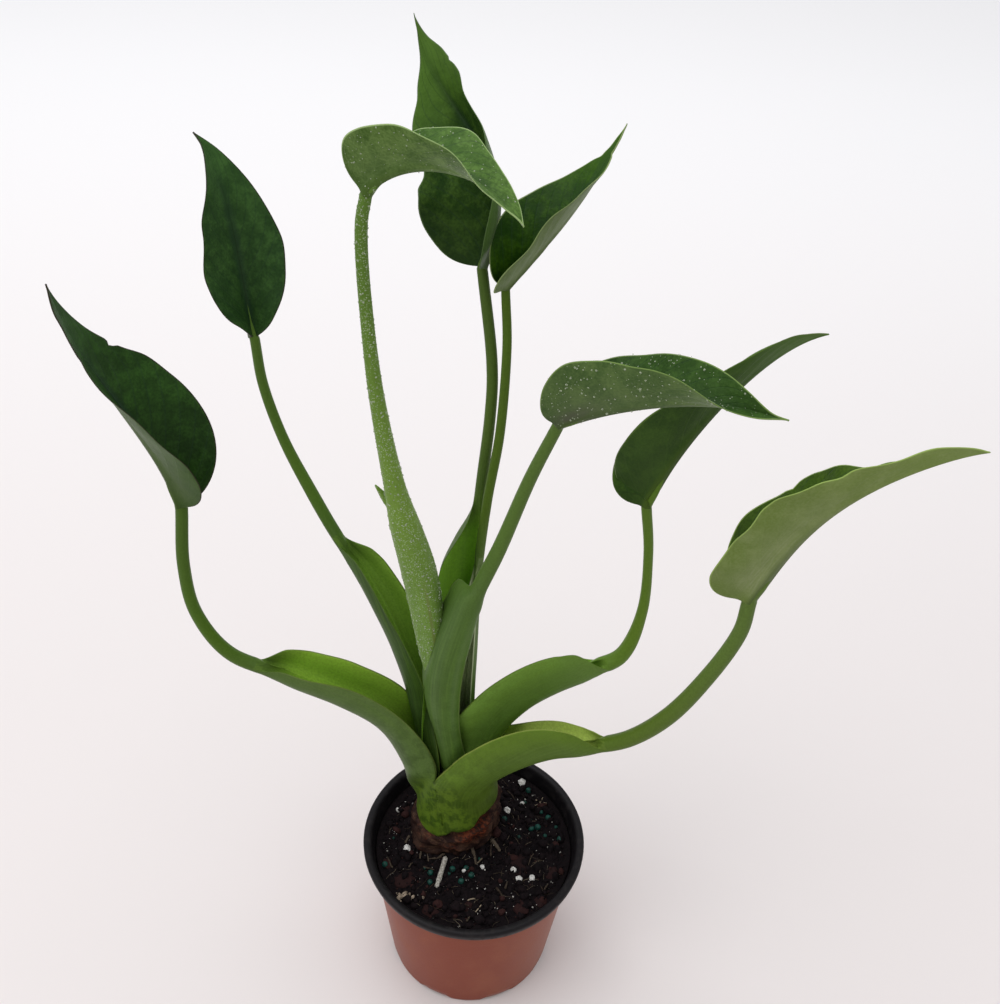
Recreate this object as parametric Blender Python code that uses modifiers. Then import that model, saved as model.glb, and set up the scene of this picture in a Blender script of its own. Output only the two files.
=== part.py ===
"""A tiny dancer alocasia in a nursery pot: pot, soil, corm, eight stalks, eight blades and soil grains.

Sizes are in millimetres and angles in degrees; MM turns a size into metres.
The origin is the middle of the pot's foot, on the surface that the pot stands on, with +Z up.
Headings turn anticlockwise from +X, seen from above.
"""
import math
from dataclasses import dataclass

import bmesh
import bpy
from mathutils import Matrix, Vector

MM = 0.001
COLLECTION_NAME = "potted_tiny_dancer_alocasia"
GAP = 0.3

# Pot
POT_HEIGHT = 80.4
RIM_RADIUS = 52.5
FOOT_RADIUS = 39.3
WALL_TOP_RADIUS = 48.4
WALL_TOP_HEIGHT = 77.5
WALL_THICKNESS = 1.4
FLOOR_THICKNESS = 2.0
RIM_SKIRT_HEIGHT = 5.2
RIM_SHEET = 1.3
RIM_ROUND = 0.9
POT_SEGMENTS = 48
FOOT_NOTCHES = 8
NOTCH_WIDTH = 13.0
NOTCH_REACH = 3.0
NOTCH_HEIGHT = 2.2
NOTCH_TURN = 22.5
DRAIN_HOLES = 6
DRAIN_RADIUS = 3.0
DRAIN_RING_RADIUS = 22.0

# Soil
SOIL_HEIGHT = 72.5
SOIL_CROWN = 1.0
SOIL_SEGMENTS = 36

# Stem foot: the corm, and the middle of the nest of sheaths above it
STEM_X = -9.0
STEM_Y = 13.5
CORM_RADIUS = 20.5
CORM_FOOT = 58.0
CORM_NECK_RADIUS = 14.6
CORM_TOP = 101.0
CORM_RINGS = 14
CORM_SEGMENTS = 24
CORM_SHOULDER_DROP = 2.5
COLLAR_MIDDLE = 93.0
COLLAR_SLANT = 6.5
COLLAR_HIGH_HEADING = 40.0

# Stalks
STALK_ROWS = 21
STALK_SIDES = 14
SHEATH_EDGE = 1.3
SHEATH_CLOSING = 0.03
SPINE_SPREAD = 1.2
WALL_ANGLE = 88
HEM_SHARE = 0.12
FOOT_LIFT = 0.4
SEAT_DROP = 0.75

# Blades
BLADE_THICKNESS = 0.9
BLADE_ROWS = 13
BLADE_COLUMNS = 8
BLADE_END_WIDTH = 0.5
BLADE_CLEARANCE = 1.0
MIDRIB_STEPS = 120
END_CROWDING = 0.11


@dataclass(frozen=True)
class Stalk:
    """A stalk: its spine's heading, route and girth, and the channel of its sheath.

    Girth runs over the whole route as (share, half thickness). Channel runs over the sheath, from foot
    to mouth, as (share, channel radius, right wing, left wing), each wing measured round from the spine.
    """

    heading: float
    route: tuple
    girth: tuple
    channel: tuple = ()
    sheath_end: float = 0.0
    on_collar: bool = False


@dataclass(frozen=True)
class Blade:
    """A blade: length, half width, and three values each, at base, middle and tip, for its bends."""

    length: float
    half_width: float
    heading: tuple
    pitch: tuple
    roll: tuple
    fold: tuple
    curl: float = 27.0
    base_fullness: float = 0.62
    tip_fineness: float = 1.13


STALKS = {
    "front_right": Stalk(
        heading=-18, on_collar=True, sheath_end=0.42,
        route=((8.5, 7.8, 112), (14, 6, 125), (25, 2.4, 140), (38, -1.8, 152), (52, -6.3, 162),
               (66, -11, 178), (79, -15, 199), (89, -18.5, 227), (94.5, -20, 252), (94, -20, 268)),
        girth=((0, 1.5), (0.3, 2.6), (0.5, 3.2), (0.8, 2.8), (1, 2.5)),
        channel=((0, 18.3, 33, 25), (0.3, 15, 30, 22), (0.6, 10, 22, 20), (0.85, 7.5, 15, 15), (1, 6, 9, 9))),
    "left": Stalk(
        heading=188, on_collar=True, sheath_end=0.54,
        route=((-27.5, 11, 104), (-33, 10.3, 126), (-44.5, 8.7, 150.5), (-62.5, 6, 169.5), (-84, 3, 187),
               (-103, 0.4, 205), (-113, -1, 229), (-115, -1.2, 254), (-111.7, 0, 279.5)),
        girth=((0, 1.5), (0.3, 2.4), (0.5, 2.9), (0.8, 2.5), (1, 2.3)),
        channel=((0, 18.3, 18, 15), (0.3, 11.5, 15, 17), (0.5, 9.5, 20, 18), (0.8, 8.5, 23, 16), (1, 6, 9, 9))),
    "right": Stalk(
        heading=8, sheath_end=0.49,
        route=((5, 15.5, 118), (10.5, 16.1, 139), (21.5, 17.8, 156), (34.5, 19.5, 168.5),
               (48, 21.3, 179.5), (60, 23, 193), (65.2, 23.8, 218), (63.8, 23.6, 246), (59.7, 23, 272)),
        girth=((0, 1.5), (0.3, 2.2), (0.5, 2.6), (0.8, 2.3), (1, 2)),
        channel=((0, 14.6, 21, 18), (0.3, 12, 22, 20), (0.6, 9, 21, 22), (0.85, 7, 16, 20), (1, 5, 8, 8))),
    "back_left": Stalk(
        heading=150, sheath_end=0.58,
        route=((-21.5, 20.8, 125), (-26, 23.2, 145), (-32.5, 27, 163), (-41.5, 32, 186), (-51, 37.5, 208),
               (-62, 44, 227), (-74, 51, 247), (-85, 57, 268), (-92, 60, 292), (-93.7, 60, 314)),
        girth=((0, 1.5), (0.3, 2.4), (0.5, 2.6), (0.8, 2.1), (1, 1.8)),
        channel=((0, 14.6, 16, 17), (0.3, 11, 19, 15), (0.6, 9, 23, 13), (0.85, 7, 19, 11), (1, 5, 9, 8))),
    "middle": Stalk(
        heading=-80, sheath_end=0.62,
        route=((-9, 4.2, 130), (-11, 2.8, 165), (-9, 1.5, 198), (-2.8, 0.5, 236),
               (5.3, -2.5, 270), (13.5, -6, 305), (21, -10, 333)),
        girth=((0, 1.5), (0.3, 1.7), (0.55, 2.2), (0.8, 1.9), (1, 1.7)),
        channel=((0, 11, 14, 11), (0.4, 14, 14, 9), (0.7, 24, 14, 6), (0.9, 20, 13, 5), (1, 12, 8, 4))),
    "back": Stalk(
        heading=95, sheath_end=0.65,
        route=((-9.5, 23.3, 140), (-7, 25, 184), (-5.5, 29, 222), (-4.5, 33, 262), (-2.4, 37, 300),
               (-2.9, 40, 324), (-7, 45, 358)),
        girth=((0, 1.5), (0.3, 1.8), (0.6, 2), (0.8, 1.8), (1, 1.7)),
        channel=((0, 11, 9, 11), (0.4, 11, 7, 10), (0.65, 11, 5, 15), (0.85, 10, 4, 14), (1, 8, 4, 8))),
    "back_right": Stalk(
        heading=60, sheath_end=0.55,
        route=((-6.3, 19, 140), (-5.5, 21, 185), (-4, 24.5, 233), (-1.9, 28, 267), (1.4, 32, 297),
               (2.6, 37, 330), (1.5, 42, 352)),
        girth=((0, 1.4), (0.3, 1.6), (0.6, 1.9), (0.8, 1.8), (1, 1.6)),
        channel=((0, 7.6, 9, 7), (0.5, 5.5, 9, 8), (1, 4, 5, 5))),
    "young": Stalk(
        heading=200,
        route=((-10, 13.4, 130), (-14, 13, 155), (-20.5, 12, 197), (-26, 10, 242), (-33, 8, 282),
               (-39.5, 5, 329), (-42.2, 3, 368), (-42.3, 1, 393), (-40.4, 0, 405)),
        girth=((0, 4.3), (0.16, 4.8), (0.32, 6.2), (0.46, 6.9), (0.54, 6), (0.62, 3.9), (0.72, 2.6),
               (0.85, 2), (1, 1.8))),
}

BLADES = {
    "front_right": Blade(103, 20.5, (-31, -16, -7), (79, 57, 22), (14, -25, -42), (53, 38, 32),
                         base_fullness=0.45),
    "left": Blade(96, 21, (186, 188, 186), (87, 65, 86), (-15, -6, 10), (69, 32, 4), tip_fineness=1.24),
    "right": Blade(97, 20.5, (-10, 9, 14), (82, 55, 20), (-7, -34, -47), (72, 38, 26),
                   base_fullness=0.55),
    "back_left": Blade(79, 18, (130, 135, 168), (74, 79, 61), (-6, -10, 4), (53, 26, 23),
                       base_fullness=0.55),
    "middle": Blade(81, 20.5, (-40, -29, -9), (51, 21, -3), (-4, -20, 11), (41, 39, 19)),
    "back": Blade(86, 18, (122, 126, 123), (44, 61, 53), (-57, -23, 0), (44, 40, 30)),
    "back_right": Blade(73, 18, (10, 42, 70), (58, 36, 41), (18, -19, -48), (58, 31, 17),
                        base_fullness=0.57, tip_fineness=1.2),
    "young": Blade(60, 17.5, (-33, -25, -25), (57, 3, -45), (-21, -18, -1), (41, 31, 13)),
}

# Grains on the soil: place (x, y), longest half size
PERLITE = (
    (15.4, 19.5, 2.0), (22.4, 38.0, 1.9), (-31.5, -3.9, 1.7), (19.4, -12.2, 1.4), (22.1, -16.7, 1.7),
    (28.2, -15.9, 1.5), (-5.6, -11.4, 0.9), (-3.9, -14.1, 1.0), (5.0, -12.0, 1.1), (6.0, -21.9, 1.0),
    (26.6, -1.0, 1.0), (22.7, 25.2, 1.1), (-38.0, 17.3, 1.2),
)
PRILLS = (
    (30.6, 11.8), (27.4, 10.8), (41.4, 6.2), (35.6, 17.9), (14.2, 14.6), (25.8, 33.1), (-19.4, -15.8),
    (-0.2, -16.4), (-4.8, -19.9), (-9.2, -13.8), (-41.2, -12.5),
)
PRILL_RADIUS = 1.5
SLIVER_ENDS = ((-12.9, -9.3), (-15.8, -23.3))
SLIVER_WIDTH = 2.5
SLIVER_HEIGHT = 1.2
CRUMB_PLACE = (-30.1, -28.6)
CRUMB_HALF_SIZE = 3.4


def heading_vector(degrees):
    """Level unit vector at a heading."""
    return Vector((math.cos(math.radians(degrees)), math.sin(math.radians(degrees)), 0))


def ease(start, end, value):
    """0 below start, 1 above end, smooth between."""
    share = min(1, max(0, (value - start) / (end - start)))
    return share * share * (3 - 2 * share)


def mix(first, second, share):
    """Value between first and second."""
    return first + (second - first) * share


def along(stations, share):
    """Smooth value at a share, from (share, value) stations."""
    for (low, first), (high, second) in zip(stations, stations[1:]):
        if share <= high:
            return mix(first, second, ease(low, high, share))
    return stations[-1][1]


def bend(values, share):
    """Parabola through the values at base, middle and tip."""
    base, middle, tip = values
    return (base * (1 - share) * (1 - 2 * share) + 4 * middle * share * (1 - share)
            + tip * share * (2 * share - 1))


def collar_edge(heading):
    """Height at which the corm's shoulder meets the lowest sheaths."""
    return COLLAR_MIDDLE + COLLAR_SLANT * math.cos(math.radians(heading - COLLAR_HIGH_HEADING))


def make_material(name, colour, roughness):
    """Plain material of one colour."""
    material = bpy.data.materials.new(name)
    material.use_nodes = True
    shader = material.node_tree.nodes["Principled BSDF"]
    shader.inputs["Base Color"].default_value = (*colour, 1)
    shader.inputs["Roughness"].default_value = roughness
    shader.inputs["Metallic"].default_value = 0
    return material


def make_object(name, mesh, material, collection):
    """Object with one material, in a collection, shaded smooth where it is round."""
    mesh.shade_smooth()
    mesh.set_sharp_from_angle(angle=math.radians(40))
    mesh.materials.append(material)
    item = bpy.data.objects.new(name, mesh)
    collection.objects.link(item)
    return item


def mesh_from_bmesh(name, shape):
    """Mesh made from a bmesh, which is freed."""
    mesh = bpy.data.meshes.new(name)
    shape.to_mesh(mesh)
    shape.free()
    return mesh


def turned(name, profile, segments, material, collection):
    """Solid turned round the Z axis from a profile of (radius, height) that starts and ends on it."""
    mesh = bpy.data.meshes.new(name)
    points = [(radius * MM, 0, height * MM) for radius, height in profile]
    edges = [(index, index + 1) for index in range(len(points) - 1)]
    mesh.from_pydata(points, edges, [])
    item = make_object(name, mesh, material, collection)
    screw = item.modifiers.new("Turn", "SCREW")
    screw.steps = segments
    screw.render_steps = segments
    screw.use_merge_vertices = True
    screw.merge_threshold = 0.00001
    screw.use_smooth_shade = True
    return item


def cut(item, cutter):
    """Takes a cutter's shape out of an object."""
    boolean = item.modifiers.new("Cut", "BOOLEAN")
    boolean.operation = "DIFFERENCE"
    boolean.solver = "EXACT"
    boolean.object = cutter


def make_cutter(name, shape, collection):
    """Hidden cutter made from a bmesh."""
    item = bpy.data.objects.new(name, mesh_from_bmesh(name, shape))
    item.hide_render = True
    item.display_type = "WIRE"
    collection.objects.link(item)
    return item


def wall_radius(height):
    """Outer radius of the pot's wall at a height."""
    return mix(FOOT_RADIUS, WALL_TOP_RADIUS, height / WALL_TOP_HEIGHT)


def make_pot(material, parts, cutters):
    """Thin tapered shell with a rolled rim, a notched foot and drain holes."""
    skirt_low = POT_HEIGHT - RIM_SKIRT_HEIGHT
    inner_top = WALL_TOP_RADIUS - WALL_THICKNESS
    profile = (
        (0, FLOOR_THICKNESS),
        (FOOT_RADIUS - WALL_THICKNESS - 1, FLOOR_THICKNESS),
        (FOOT_RADIUS - WALL_THICKNESS, FLOOR_THICKNESS + 1),
        (inner_top, WALL_TOP_HEIGHT - 1),
        (inner_top + 0.6, POT_HEIGHT - RIM_ROUND),
        (inner_top + 1.8, POT_HEIGHT),
        (RIM_RADIUS - 1.6, POT_HEIGHT),
        (RIM_RADIUS - 0.4, POT_HEIGHT - RIM_ROUND),
        (RIM_RADIUS, POT_HEIGHT - 2 * RIM_ROUND),
        (RIM_RADIUS - 0.2, skirt_low),
        (RIM_RADIUS - RIM_SHEET, skirt_low),
        (RIM_RADIUS - RIM_SHEET - 0.2, POT_HEIGHT - 2 * RIM_SHEET),
        (WALL_TOP_RADIUS + 0.3, POT_HEIGHT - 2 * RIM_SHEET),
        (WALL_TOP_RADIUS, WALL_TOP_HEIGHT - 1),
        (wall_radius(2), 2),
        (FOOT_RADIUS - 0.8, 0),
        (0, 0),
    )
    pot = turned("pot", profile, POT_SEGMENTS, material, parts)
    cut(pot, notch_cutter(cutters))
    cut(pot, drain_cutter(cutters))
    return pot


def notch_cutter(cutters):
    """Blocks that leave feet round the pot's lower edge."""
    shape = bmesh.new()
    for index in range(FOOT_NOTCHES):
        turn = Matrix.Rotation(math.radians(NOTCH_TURN + index * 360 / FOOT_NOTCHES), 4, "Z")
        size = Matrix.Diagonal((2 * NOTCH_REACH * MM, NOTCH_WIDTH * MM, 2 * NOTCH_HEIGHT * MM, 1))
        place = Matrix.Translation((FOOT_RADIUS * MM, 0, 0))
        bmesh.ops.create_cube(shape, size=1, matrix=turn @ place @ size)
    return make_cutter("foot_notches", shape, cutters)


def drain_cutter(cutters):
    """Pegs that leave the drain holes in the pot's floor."""
    shape = bmesh.new()
    for index in range(DRAIN_HOLES):
        heading = index * 360 / DRAIN_HOLES
        place = Matrix.Translation(heading_vector(heading) * DRAIN_RING_RADIUS * MM)
        bmesh.ops.create_cone(shape, cap_ends=True, segments=12, radius1=DRAIN_RADIUS * MM,
                              radius2=DRAIN_RADIUS * MM, depth=4 * FLOOR_THICKNESS * MM, matrix=place)
    return make_cutter("drain_pegs", shape, cutters)


def make_soil(material, parts, cutters):
    """Peat plug inside the pot, hollowed for the corm."""
    low = FLOOR_THICKNESS + GAP
    foot = FOOT_RADIUS - WALL_THICKNESS - 1 - GAP
    top = wall_radius(SOIL_HEIGHT) - WALL_THICKNESS - 2 * GAP
    profile = (
        (0, SOIL_HEIGHT + SOIL_CROWN),
        (0.5 * top, SOIL_HEIGHT + SOIL_CROWN),
        (top - 2, SOIL_HEIGHT),
        (top, SOIL_HEIGHT - 1.5),
        (foot, low + 0.5),
        (foot - 0.5, low),
        (0, low),
    )
    soil = turned("soil", profile, SOIL_SEGMENTS, material, parts)
    cut(soil, make_cutter("corm_pit", corm_shape(GAP), cutters))
    return soil


def corm_shape(grow):
    """Corm as a bmesh: a stubby barrel with a slanted shoulder and a narrower neck."""
    shape = bmesh.new()
    bmesh.ops.create_uvsphere(shape, u_segments=CORM_SEGMENTS, v_segments=CORM_RINGS, radius=1)
    for vertex in shape.verts:
        share = math.acos(max(-1, min(1, vertex.co.z))) / math.pi
        heading = math.degrees(math.atan2(vertex.co.y, vertex.co.x))
        shoulder = collar_edge(heading)
        radius = along(((0, 0), (0.14, CORM_NECK_RADIUS), (0.36, CORM_NECK_RADIUS), (0.5, CORM_RADIUS),
                        (0.8, CORM_RADIUS), (1, 0)), share) + grow * math.sin(share * math.pi)
        height = along(((0, CORM_TOP), (0.14, CORM_TOP), (0.36, shoulder),
                        (0.5, shoulder - CORM_SHOULDER_DROP), (0.8, CORM_FOOT + 4),
                        (1, CORM_FOOT)), share) + grow * math.cos(share * math.pi)
        flat = heading_vector(heading) * radius
        vertex.co = Vector((STEM_X + flat.x, STEM_Y + flat.y, height)) * MM
    return shape


def make_corm(material, parts):
    """Brown stem foot, half out of the soil."""
    return make_object("corm", mesh_from_bmesh("corm", corm_shape(0)), material, parts)


def smooth_route(points, rows):
    """Places and directions at even steps along a smooth curve through the points."""
    ends = [2 * points[0] - points[1], *points, 2 * points[-1] - points[-2]]
    dense = []
    for before, start, end, after in zip(ends, ends[1:], ends[2:], ends[3:]):
        for step in range(12):
            share = step / 12
            dense.append(0.5 * (2 * start + (end - before) * share
                                + (2 * before - 5 * start + 4 * end - after) * share ** 2
                                + (3 * start - before - 3 * end + after) * share ** 3))
    dense.append(points[-1])
    lengths = [0]
    for start, end in zip(dense, dense[1:]):
        lengths.append(lengths[-1] + (end - start).length)
    route = []
    index = 0
    for row in range(rows + 1):
        wanted = lengths[-1] * row / rows
        while index < len(dense) - 2 and lengths[index + 1] < wanted:
            index += 1
        share = (wanted - lengths[index]) / (lengths[index + 1] - lengths[index])
        before = dense[max(0, index - 1)]
        after = dense[min(len(dense) - 1, index + 2)]
        route.append((dense[index].lerp(dense[index + 1], share), (after - before).normalized()))
    return route


def channel_at(stalk, run):
    """Channel radius, right wing and left wing at a share of the sheath."""
    shares = [station[0] for station in stalk.channel]
    return [along(tuple(zip(shares, values)), run) for values in list(zip(*stalk.channel))[1:]]


def wall_point(radius, wall_angle, reach):
    """Place and outward direction on the channel's section, as (side, out), at a way from the spine."""
    bent = min(abs(reach), radius * wall_angle)
    straight = abs(reach) - bent
    angle = bent / radius
    side = radius * math.sin(angle) + straight * math.cos(angle)
    depth = radius * (1 - math.cos(angle)) + straight * math.sin(angle)
    place = Vector((math.copysign(side, reach), -depth))
    outward = Vector((math.copysign(math.sin(angle), reach), math.cos(angle)))
    return place, outward


def section_side(stalk, share, across, half):
    """Outer and inner points, as (side, out), at a place across the stalk from -1 to 1."""
    quarter = across * math.pi / 2
    round_outer = Vector((half * math.sin(quarter), half * math.cos(quarter)))
    round_inner = Vector((half * math.sin(quarter), -half * math.cos(quarter)))
    if not stalk.channel or share > stalk.sheath_end + SHEATH_CLOSING:
        return round_outer, round_inner
    run = min(1, share / stalk.sheath_end)
    radius, right, left = channel_at(stalk, run)
    reach = across * (right if across < 0 else left)
    wall_angle = math.radians(mix(180, WALL_ANGLE, ease(0, 0.5, run)))
    place, outward = wall_point(radius, wall_angle, reach)
    spine = math.exp(-(reach / (SPINE_SPREAD * half)) ** 2)
    thickness = SHEATH_EDGE * math.sqrt(1 - across ** 6) + (2 * half - SHEATH_EDGE) * spine
    outer = place + Vector((0, half))
    inner = outer - outward * thickness
    closed = ease(stalk.sheath_end - SHEATH_CLOSING, stalk.sheath_end + SHEATH_CLOSING, share)
    return outer.lerp(round_outer, closed), inner.lerp(round_inner, closed)


def stalk_route(stalk):
    """Places and directions along a stalk's spine."""
    height = collar_edge(stalk.heading) - SEAT_DROP if stalk.on_collar else CORM_TOP
    start = Vector((STEM_X, STEM_Y, height + FOOT_LIFT))
    if stalk.channel:
        start += heading_vector(stalk.heading) * (stalk.channel[0][1] - stalk.girth[0][1])
    return smooth_route([start, *(Vector(point) for point in stalk.route)], STALK_ROWS)


def make_stalk(name, stalk, material, parts):
    """Stalk: a loft from a crescent sheath at the foot to a round neck under the blade."""
    left = Vector((-math.sin(math.radians(stalk.heading)), math.cos(math.radians(stalk.heading)), 0))
    half_count = STALK_SIDES // 2
    points = []
    for row, (place, direction) in enumerate(stalk_route(stalk)):
        share = row / STALK_ROWS
        half = along(stalk.girth, share)
        out = left.cross(direction).normalized()
        side = direction.cross(out)
        outer_points = []
        inner_points = []
        for step in range(half_count + 1):
            outer, inner = section_side(stalk, share, 2 * step / half_count - 1, half)
            outer_points.append(place + side * outer.x + out * outer.y)
            inner_points.append(place + side * inner.x + out * inner.y)
        ring = outer_points + inner_points[-2:0:-1]
        hem = 1 - ease(0, HEM_SHARE, share)
        for point in ring:
            point.z = mix(point.z, place.z, hem)
            if stalk.on_collar:
                heading = math.degrees(math.atan2(point.y - STEM_Y, point.x - STEM_X))
                point.z += hem * (collar_edge(heading) - collar_edge(stalk.heading))
        points.extend(ring)
    faces = []
    for row in range(STALK_ROWS):
        low = row * STALK_SIDES
        high = low + STALK_SIDES
        for step in range(STALK_SIDES):
            after = (step + 1) % STALK_SIDES
            faces.append((low + step, low + after, high + after, high + step))
    faces.extend(cap_faces(0, half_count, False))
    faces.extend(cap_faces(STALK_ROWS * STALK_SIDES, half_count, True))
    mesh = bpy.data.meshes.new(f"stalk_{name}")
    mesh.from_pydata([point * MM for point in points], [], faces)
    return make_object(f"stalk_{name}", mesh, material, parts)


def cap_faces(first, half_count, upward):
    """Strip of faces between the outer and inner halves of a ring."""
    count = 2 * half_count
    faces = [(first, first + 1, first + count - 1)]
    for step in range(1, half_count - 1):
        faces.append((first + step, first + step + 1, first + count - step - 1, first + count - step))
    faces.append((first + half_count - 1, first + half_count, first + half_count + 1))
    if upward:
        return faces
    return [tuple(reversed(face)) for face in faces]


def blade_frames(blade, start):
    """Place, direction, left and upper-side vectors at even steps along a blade's midrib."""
    frames = []
    place = start.copy()
    step_length = blade.length / MIDRIB_STEPS
    for step in range(MIDRIB_STEPS + 1):
        share = step / MIDRIB_STEPS
        pitch = math.radians(bend(blade.pitch, share))
        heading = bend(blade.heading, share)
        direction = heading_vector(heading) * math.cos(pitch) + Vector((0, 0, math.sin(pitch)))
        level = Vector((-math.sin(math.radians(heading)), math.cos(math.radians(heading)), 0))
        rolled = Matrix.Rotation(math.radians(bend(blade.roll, share)), 3, direction)
        left = rolled @ level
        if step:
            place = place + direction * step_length
        frames.append((place.copy(), direction, left, direction.cross(left)))
    return frames


def blade_width(blade, share):
    """Half width at a share of the length: full near the base, drawn out to a fine tip."""
    widest = blade.base_fullness / (blade.base_fullness + blade.tip_fineness)
    return blade.half_width * (share / widest) ** blade.base_fullness * (
        (1 - share) / (1 - widest)) ** blade.tip_fineness


def blade_point(blade, frames, share, across):
    """Point of the blade's surface: share runs to the tip, across from -1 to 1 over the midrib."""
    place, _, left, upper = frames[round(share * MIDRIB_STEPS)]
    width = max(BLADE_END_WIDTH, blade_width(blade, share))
    fold = bend(blade.fold, share)
    side = 0
    rise = 0
    steps = 8
    for step in range(steps):
        reach = (step + 0.5) / steps * abs(across)
        angle = math.radians(fold + blade.curl * (reach - 0.3) * width / blade.half_width)
        side += math.cos(angle) * abs(across) * width / steps
        rise += math.sin(angle) * abs(across) * width / steps
    return place + left * math.copysign(side, across) + upper * rise


def make_blade(name, blade, stalk, material, parts):
    """Cupped, arched blade: a grid moved into shape and given thickness."""
    place, direction = stalk_route(stalk)[-1]
    frames = blade_frames(blade, place + direction * BLADE_CLEARANCE)
    shape = bmesh.new()
    bmesh.ops.create_grid(shape, x_segments=BLADE_COLUMNS, y_segments=BLADE_ROWS, size=1)
    for vertex in shape.verts:
        even = (vertex.co.y + 1) / 2
        share = even - END_CROWDING * math.sin(2 * math.pi * even)
        vertex.co = blade_point(blade, frames, share, vertex.co.x) * MM
    item = make_object(f"blade_{name}", mesh_from_bmesh(f"blade_{name}", shape), material, parts)
    solidify = item.modifiers.new("Thickness", "SOLIDIFY")
    solidify.thickness = BLADE_THICKNESS * MM
    solidify.offset = 0
    return item


def soil_top(x, y):
    """Height of the soil's surface."""
    top = wall_radius(SOIL_HEIGHT) - WALL_THICKNESS - 2 * GAP
    reach = math.hypot(x, y)
    slope = (reach - 0.5 * top) / (0.5 * top - 2)
    return SOIL_HEIGHT + SOIL_CROWN * (1 - min(1, max(0, slope)))


def make_grain(name, x, y, sizes, turn, material, parts):
    """Lumpy grain that rests on the soil."""
    shape = bmesh.new()
    bmesh.ops.create_icosphere(shape, subdivisions=2, radius=1)
    for vertex in shape.verts:
        lump = 1 + 0.1 * math.sin(5 * vertex.co.x + turn) * math.cos(4 * vertex.co.y - turn)
        vertex.co = Vector((vertex.co.x * sizes[0], vertex.co.y * sizes[1], vertex.co.z * sizes[2])) * lump
    bmesh.ops.rotate(shape, verts=shape.verts, matrix=Matrix.Rotation(turn, 3, "Z"))
    lowest = min(vertex.co.z for vertex in shape.verts)
    lift = Vector((x, y, soil_top(x, y) + GAP - lowest))
    for vertex in shape.verts:
        vertex.co = (vertex.co + lift) * MM
    return make_object(name, mesh_from_bmesh(name, shape), material, parts)


def make_sliver(material, parts):
    """Pale sliver of wood that lies on the soil."""
    start, end = (Vector((*point, 0)) for point in SLIVER_ENDS)
    run = end - start
    middle = (start + end) / 2
    turn = Matrix.Rotation(math.atan2(run.y, run.x), 4, "Z")
    size = Matrix.Diagonal((run.length * MM, SLIVER_WIDTH * MM, SLIVER_HEIGHT * MM, 1))
    height = SOIL_HEIGHT + SOIL_CROWN + GAP + SLIVER_HEIGHT / 2
    place = Matrix.Translation(Vector((middle.x, middle.y, height)) * MM)
    shape = bmesh.new()
    bmesh.ops.create_cube(shape, size=1, matrix=place @ turn @ size)
    return make_object("sliver", mesh_from_bmesh("sliver", shape), material, parts)


def clear_scene():
    """Removes the objects that a new scene starts with."""
    for item in list(bpy.data.objects):
        bpy.data.objects.remove(item, do_unlink=True)


def main():
    """Builds every piece."""
    clear_scene()
    parts = bpy.data.collections.new(COLLECTION_NAME)
    cutters = bpy.data.collections.new("cutters")
    bpy.context.scene.collection.children.link(parts)
    bpy.context.scene.collection.children.link(cutters)
    plastic = make_material("pot_plastic", (0.26, 0.07, 0.04), 0.5)
    peat = make_material("peat", (0.008, 0.006, 0.005), 0.95)
    bark = make_material("corm_skin", (0.09, 0.035, 0.018), 0.8)
    stem_green = make_material("stalk_green", (0.07, 0.17, 0.03), 0.45)
    leaf_green = make_material("blade_green", (0.02, 0.065, 0.014), 0.4)
    white = make_material("perlite_white", (0.7, 0.68, 0.62), 0.9)
    teal = make_material("prill_green", (0.01, 0.09, 0.06), 0.5)
    wood = make_material("pale_wood", (0.42, 0.39, 0.34), 0.85)
    tan = make_material("crumb_tan", (0.32, 0.24, 0.17), 0.9)
    make_pot(plastic, parts, cutters)
    make_soil(peat, parts, cutters)
    make_corm(bark, parts)
    for name, stalk in STALKS.items():
        make_stalk(name, stalk, stem_green, parts)
        make_blade(name, BLADES[name], stalk, leaf_green, parts)
    for number, (x, y, half) in enumerate(PERLITE, 1):
        make_grain(f"perlite_{number}", x, y, (half, 0.8 * half, 0.65 * half), number, white, parts)
    for number, (x, y) in enumerate(PRILLS, 1):
        sizes = (PRILL_RADIUS, PRILL_RADIUS, PRILL_RADIUS)
        make_grain(f"prill_{number}", x, y, sizes, 0, teal, parts)
    make_sliver(wood, parts)
    crumb_sizes = (CRUMB_HALF_SIZE, 0.75 * CRUMB_HALF_SIZE, 0.45 * CRUMB_HALF_SIZE)
    make_grain("crumb", *CRUMB_PLACE, crumb_sizes, 0.6, tan, parts)


main()
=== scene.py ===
"""Visual model of a potted tiny dancer alocasia: pot, soil, corm and eight sheathing leaves."""
import logging
import math
from dataclasses import dataclass, field
from enum import Enum
from typing import Any, Sequence

import bmesh
import bpy
import numpy as np
from mathutils import Matrix, Vector
from mathutils.geometry import delaunay_2d_cdt


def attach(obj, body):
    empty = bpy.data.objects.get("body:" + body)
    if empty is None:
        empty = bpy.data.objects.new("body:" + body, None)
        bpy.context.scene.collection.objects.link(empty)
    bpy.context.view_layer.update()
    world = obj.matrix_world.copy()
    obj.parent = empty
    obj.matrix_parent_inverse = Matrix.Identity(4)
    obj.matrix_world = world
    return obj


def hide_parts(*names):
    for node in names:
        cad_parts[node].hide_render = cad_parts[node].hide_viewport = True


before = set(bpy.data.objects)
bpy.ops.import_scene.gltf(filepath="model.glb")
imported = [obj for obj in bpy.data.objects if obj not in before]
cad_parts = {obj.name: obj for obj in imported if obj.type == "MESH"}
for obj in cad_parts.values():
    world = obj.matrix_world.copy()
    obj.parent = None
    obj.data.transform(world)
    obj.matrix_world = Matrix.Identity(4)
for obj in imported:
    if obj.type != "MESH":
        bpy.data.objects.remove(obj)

Array = np.ndarray
Colour = tuple[float, float, float]
Pair = tuple[float, float]
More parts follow.
